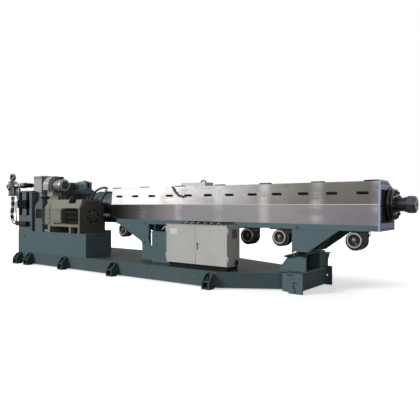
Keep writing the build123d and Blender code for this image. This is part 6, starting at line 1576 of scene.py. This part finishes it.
class CabinetSizes(bpy.types.PropertyGroup):
    contactors: count_choice("Contactors", "Contactors in each row inside", 12, 2, 20)
    glands: count_choice("Glands", "Cable glands along the top", 12, 1, 24)


class MakeCabinetDetails(bpy.types.Operator):
    """Adds the side vent, cable hole, bare label, screws, skirting, glands with leads, latch and lock"""

    bl_idname = "extruder.cabinet_details"
    bl_label = "Heater cabinet outside"

    def execute(self, context):
        count = context.scene.extruder_cabinet.glands
        side = CABINET_SIDE
        near, far, bottom, top = SIDE_VENT
        # painted shade: a near-black sheet behind the vent slats
        pane = block(0.002, far - near, top - bottom, 0.0005)
        many("side_vent_back", pane, [(side + 0.0008, (near + far) / 2, bottom)], finishes.dark_void)
        slat_count = 9
        pitch = (top - bottom) / slat_count
        slat = np.array([(0.0, 0, 0), (0.009, 0, -0.002), (0.009, 0, 0.0), (0.0, 0, 0.009)])
        sections = np.stack([slat + (0, near, 0), slat + (0, far, 0)])
        places = [(side, 0, bottom + (i + 0.2) * pitch) for i in range(slat_count)]
        many("side_vent_slats", skin(sections[::-1]), places, finishes.vent_grey)
        hole_y, hole_z = CABLE_HOLE
        grommet = turned([(0.036, 0), (0.05, 0.002), (0.05, 0.008), (0.036, 0.01), (0.0, 0.004)], 32)
        many("cable_grommet", grommet, [(side, hole_y, hole_z)], finishes.black_rubber, RIGHT)
        left, right, bottom, top = LABEL
        label = block(right - left, top - bottom, 0.0015, 0.0004)
        middle = [((left + right) / 2, CABINET_FACE, (bottom + top) / 2)]
        many("bare_label", label, middle, finishes.chip_white, NEAR, body="left_door")
        left, right, bottom, top = PLINTH
        tall, z = top - bottom - 0.004, (bottom + top) / 2
        front, end = block(right - left + 0.004, tall, 0.002, 0.0006), block(0.29, tall, 0.002, 0.0006)
        skirt = copies(front, [((left + right) / 2, CABINET_NEAR + 0.027, z)], facing(NEAR))
        skirt = joined(skirt, copies(end, [(right, -0.68, z)], facing(RIGHT)))
        piece("plinth_skirting", skirt, finishes.dark_void)
        glands = [(x, -0.62, CABINET_TOP) for x in between(0.76, 1.5, count)]
        many("cabinet_glands", cable_gland(0.01), glands, finishes.black_trim)
        bends = [
            (0, -0.02, 0.01), (0.004, -0.026, 0.03), (0.022, -0.014, 0.044), (0.04, 0.008, 0.032),
            (0.044, 0.016, 0.0),
        ]
        bow = curve_through(bends, 6)
        many("cabinet_dark_leads", pipe(bow, 0.0055, 9), glands[::2], finishes.black_rubber)
        many("cabinet_pale_leads", pipe(bow * (0.9, 1, 0.8), 0.005, 9), glands[1::2], finishes.chip_white)
        studs = [(x, y, CABINET_TOP) for x in between(0.66, 1.78, 12) for y in (-0.78, -0.56)]
        many("cabinet_roof_screws", pan_screw(0.006), studs, finishes.fastener)
        # painted highlight: a white lip along the roof's front edge
        highlight_lip = block(1.247, 0.03, 0.007, 0.002)
        many("cabinet_roof_highlight_lip", highlight_lip, [(1.2135, -0.845, CABINET_TOP)], finishes.chip_white)
        for name, body, door in (("left", "left_door", left_door), ("right", "right_door", right_door)):
            x = door.left + 0.02 if name == "left" else door.right - 0.02
            places = [(x, CABINET_FACE, z) for z in (0.41, 0.43, 0.84, 0.86)]
            many(name + "_hinge_screws", pan_screw(0.004), places, finishes.fastener, NEAR, body=body)
            rib = block(0.5, 0.03, 0.004, 0.001)
            middle = (door.left + door.right) / 2
            inner = [(middle, CABINET_FACE + 0.0215, z) for z in (0.5, 0.66, 0.82)]
            many(name + "_door_stiffeners", rib, inner, finishes.cabinet_paint, FAR, body=body)
        mullion = block(0.06, 0.58, 0.003, 0.001)
        many("door_mullion", mullion, [(MEETING_X, -0.8285, 0.655)], finishes.cabinet_paint, NEAR)
        sleeve = block(0.027, 0.113, 0.0235, 0.006, 3)
        latch = [(LATCH_X, CABINET_FACE, 0.64)]
        many("latch_sleeve", sleeve, latch, finishes.chip_white, NEAR, body="right_door")
        lock = turned([(0.009, 0), (0.009, 0.003), (0.005, 0.004), (0.0, 0.004)], 16)
        keyhole = [(1.262, right_door.near, 0.678)]
        many("door_lock", lock, keyhole, finishes.dark_fastener, NEAR, body="right_door")
        return {"FINISHED"}


class MakeCabinetInside(bpy.types.Operator):
    """Fills the cabinet: mounting plate, rows of contactors and relays, wire ducts, terminals and wires"""

    bl_idname = "extruder.cabinet_inside"
    bl_label = "Heater cabinet inside"

    def execute(self, context):
        count = context.scene.extruder_cabinet.contactors
        left, right, back = PLATE_LEFT, PLATE_RIGHT, PLATE_BACK
        middle = (left + right) / 2
        plate = block(right - left, 0.56, 0.003, 0.001)
        many("mounting_plate", plate, [(middle, back, 0.655)], finishes.zinc_plate, NEAR)
        rows, duct_zs = (0.86, 0.72, 0.58), (0.93, 0.79, 0.65, 0.51)
        rail = block(right - left - 0.1, 0.035, 0.008, 0.001)
        many("mounting_rails", rail, [(middle, back - 0.003, z) for z in rows], finishes.fastener, NEAR)
        xs = between(left + 0.09, right - 0.09, count)
        coil = shifted(block(0.044, 0.05, 0.026, 0.003, 2), (0, 0, 0.058))
        contactor = joined(block(0.052, 0.086, 0.06, 0.003, 2), coil)
        places = [(x, back - 0.011, z) for z in rows[:2] for x in xs]
        many("contactors", contactor, places, finishes.contactor_grey, NEAR)
        button = block(0.02, 0.014, 0.004, 0.001)
        places = [(x, back - 0.095, z) for x in xs for z in rows[:2]]
        many("contactor_buttons", button, places, finishes.red_paint, NEAR)
        screws = [
            (x + dx, back - 0.071, z + dz)
            for x in xs
            for dx in (-0.015, 0, 0.015)
            for z in rows[:2]
            for dz in (-0.035, 0.035)
        ]
        many("contactor_screws", pan_screw(0.0045), screws, finishes.brass, NEAR)
        breakers = between(left + 0.08, right - 0.08, 2 * count)
        switch = shifted(block(0.012, 0.022, 0.014, 0.002), (0, 0, 0.05))
        breaker = joined(block(0.034, 0.08, 0.05, 0.002), switch)
        places = [(x, back - 0.011, rows[2]) for x in breakers]
        many("breakers", breaker, places, finishes.contactor_grey, NEAR)
        duct = block(right - left - 0.06, 0.045, 0.06, 0.003)
        ducts = [(middle, back - 0.003, z) for z in duct_zs]
        many("wire_ducts", duct, ducts, finishes.duct_grey, NEAR)
        # painted shade: near-black marks where the duct slots are
        comb = grid_of(np.arange(left + 0.05, right - 0.04, 0.025), back - 0.0635, duct_zs)
        many("duct_slots", block(0.006, 0.036, 0.0012, 0.0004), comb, finishes.dark_void, NEAR)
        terminals = between(left + 0.06, right - 0.06, 4 * count)
        terminal = block(0.016, 0.05, 0.045, 0.001)
        many("terminals", terminal, [(x, back - 0.003, 0.44) for x in terminals], finishes.green_wire, NEAR)
        wires = []
        for i, x in enumerate(breakers):
            bow = 0.008 * math.sin(i * 1.7)
            bends = [(x, back - 0.04, 0.535), (x + bow, back - 0.075, 0.5)]
            bends += [(x + bow, back - 0.07, 0.475), (x, back - 0.045, 0.455)]
            wires.append(bent_pipe(bends, 0.0035, 7, 5))
        piece("terminal_wires", joined(*wires), finishes.black_rubber)
        reds = []
        for i, x in enumerate(xs):
            bow = 0.01 * math.cos(i * 2.3)
            bends = [(x, back - 0.075, 0.82), (x + bow, back - 0.1, 0.805)]
            bends += [(x + bow, back - 0.1, 0.775), (x, back - 0.075, 0.757)]
            reds.append(bent_pipe(bends, 0.004, 7, 5))
        piece("contactor_wires", joined(*reds), finishes.red_paint)
        return {"FINISHED"}


class StageSizes(bpy.types.PropertyGroup):
    lens: FloatProperty(name="Lens", description="Camera lens in millimetres", default=40.03, min=10)
    eye: FloatVectorProperty(
        name="Camera place", description="Where the camera stands",
        subtype="TRANSLATION", default=(5.891, -6.688, 1.3),
    )
    heading: FloatProperty(
        name="Heading", description="Turn of the view from +Y towards -X",
        subtype="ANGLE", default=math.radians(36.9),
    )
    shift: FloatProperty(name="Shift", description="Upward shift of the picture", default=-0.0131)
    key_power: FloatProperty(name="Key light", description="Strength of the main light", default=2.6, min=0)
    fill_power: FloatProperty(
        name="Fill light", description="Watts of the lamp on the right", default=60.0, min=0
    )
    sky: FloatProperty(
        name="Sky", description="Brightness of the soft light from all round", default=0.15, min=0
    )
    floor_glow: FloatProperty(
        name="Floor glow", description="Brightness added to the floor beside the machine", default=0.55,
        min=0,
    )


def add_light(name, kind, place, target, energy, size):
    """A lamp that looks at a target."""
    light = bpy.data.lights.new(name, kind)
    light.energy = energy
    if kind == "AREA":
        light.shape = "SQUARE"
        light.size = size
    else:
        light.angle = size
    lamp = bpy.data.objects.new(name, light)
    lamp.location = place
    lamp.rotation_euler = (Vector(target) - Vector(place)).to_track_quat("-Z", "Y").to_euler()
    bpy.context.scene.collection.objects.link(lamp)


class MakeStage(bpy.types.Operator):
    """Adds the camera, the pale floor, the lamps and the white surroundings"""

    bl_idname = "extruder.stage"
    bl_label = "Camera, floor and lights"

    def execute(self, context):
        sizes = context.scene.extruder_stage
        camera = bpy.data.cameras.new("camera")
        camera.lens = sizes.lens
        camera.sensor_width = 36
        camera.shift_y = sizes.shift
        camera.clip_end = 200
        viewer = bpy.data.objects.new("camera", camera)
        viewer.location = sizes.eye
        viewer.rotation_euler = (math.pi / 2, 0, sizes.heading)
        context.scene.collection.objects.link(viewer)
        context.scene.camera = viewer

        half = 60.0
        corners = [(-half, -half, 0), (half, -half, 0), (half, half, 0), (-half, half, 0)]
        mesh = bpy.data.meshes.new("studio_floor")
        mesh.from_pydata(corners, [], [(0, 1, 2, 3)])
        floor = bpy.data.objects.new("studio_floor", mesh)
        context.scene.collection.objects.link(floor)
        material = bpy.data.materials.new("Studio Floor")
        material.use_nodes = True
        shader = Shader(material.node_tree)
        base = material.node_tree.nodes["Principled BSDF"].inputs
        point = shader.axes()
        rays = shader.node("ShaderNodeLightPath").outputs
        pale = shader.blend(shader.noise(shader.place(), 0.6), srgb(240, 240, 240), srgb(246, 246, 246))
        shader.put(base["Base Color"], shader.blend(rays["Is Camera Ray"], srgb(150, 150, 150), pale))
        squares = []
        for axis, reach in (("X", 3.2), ("Y", 0.6)):
            beyond = shader.math("SUBTRACT", shader.math("ABSOLUTE", point[axis]), reach)
            squares.append(shader.math("POWER", shader.math("MAXIMUM", beyond, 0.0), 2.0))
        away = shader.math("SQRT", shader.math("ADD", *squares))
        glow = shader.fade(away, 0.1, 1.9, sizes.floor_glow, 1.0)
        shader.put(base["Emission Strength"], shader.math("MULTIPLY", glow, rays["Is Camera Ray"]))
        base["Emission Color"].default_value = (1, 1, 1, 1)
        base["Roughness"].default_value = 0.9
        base["Specular IOR Level"].default_value = 0.2
        mesh.materials.append(material)

        world = bpy.data.worlds.new("studio")
        context.scene.world = world
        world.use_nodes = True
        sky = Shader(world.node_tree)
        background = world.node_tree.nodes["Background"].inputs
        rays = sky.node("ShaderNodeLightPath").outputs
        seen = sky.math("MAXIMUM", rays["Is Camera Ray"], rays["Is Glossy Ray"])
        seen = sky.math("MAXIMUM", seen, rays["Is Transmission Ray"])
        background["Color"].default_value = (1, 1, 1, 1)
        sky.put(background["Strength"], sky.fade(seen, 0, 1, sizes.sky, 1.0))
        add_light("key", "SUN", (-8, -11, 6), (0, 0, 0.8), sizes.key_power, math.radians(18))
        add_light("fill", "AREA", (8.5, -4.5, 2.6), (2, -0.2, 0.8), sizes.fill_power, 3.0)
        context.scene.view_settings.view_transform = "Standard"
        return {"FINISHED"}


OPERATORS = (
    MakeFinishes, MakeBedDetails, MakeMotorDetails, MakeGuardDetails, MakeBlowerDetails,
    MakeOilDetails, MakeGearboxDetails, MakeFeedDetails, MakeCoverDetails, MakeDieDetails,
    MakeFanDetails, MakeLegDetails, MakeCabinetDetails, MakeCabinetInside, MakeStage,
)
PROPERTIES = {
    "extruder_finishes": FinishSizes,
    "extruder_bed": BedSizes,
    "extruder_motor": MotorSizes,
    "extruder_guards": GuardSizes,
    "extruder_blower": BlowerSizes,
    "extruder_oil": OilSizes,
    "extruder_gearbox": GearboxSizes,
    "extruder_feed": FeedSizes,
    "extruder_covers": CoverSizes,
    "extruder_die": DieSizes,
    "extruder_fans": FanSizes,
    "extruder_legs": LegSizes,
    "extruder_cabinet": CabinetSizes,
    "extruder_stage": StageSizes,
}


class ExtruderPanel(bpy.types.Panel):
    """Lists every step of the machine's finishing"""

    bl_idname = "VIEW3D_PT_extruder"
    bl_label = "Plastic Extruder"
    bl_space_type = "VIEW_3D"
    bl_region_type = "UI"
    bl_category = "Extruder"

    def draw(self, context):
        for name, kind in PROPERTIES.items():
            box = self.layout.box()
            for field in kind.__annotations__:
                box.prop(getattr(context.scene, name), field)
        for step in OPERATORS:
            self.layout.operator(step.bl_idname)


def register():
    for kind in (*PROPERTIES.values(), *OPERATORS, ExtruderPanel):
        bpy.utils.register_class(kind)
    for name, kind in PROPERTIES.items():
        setattr(bpy.types.Scene, name, PointerProperty(type=kind))


def unregister():
    for name in PROPERTIES:
        delattr(bpy.types.Scene, name)
    for kind in (ExtruderPanel, *reversed(OPERATORS), *PROPERTIES.values()):
        bpy.utils.unregister_class(kind)


def main():
    register()
    for step in OPERATORS:
        family, action = step.bl_idname.split(".")
        getattr(getattr(bpy.ops, family), action)()
    bpy.context.view_layer.update()


if __name__ == "__main__":
    main()
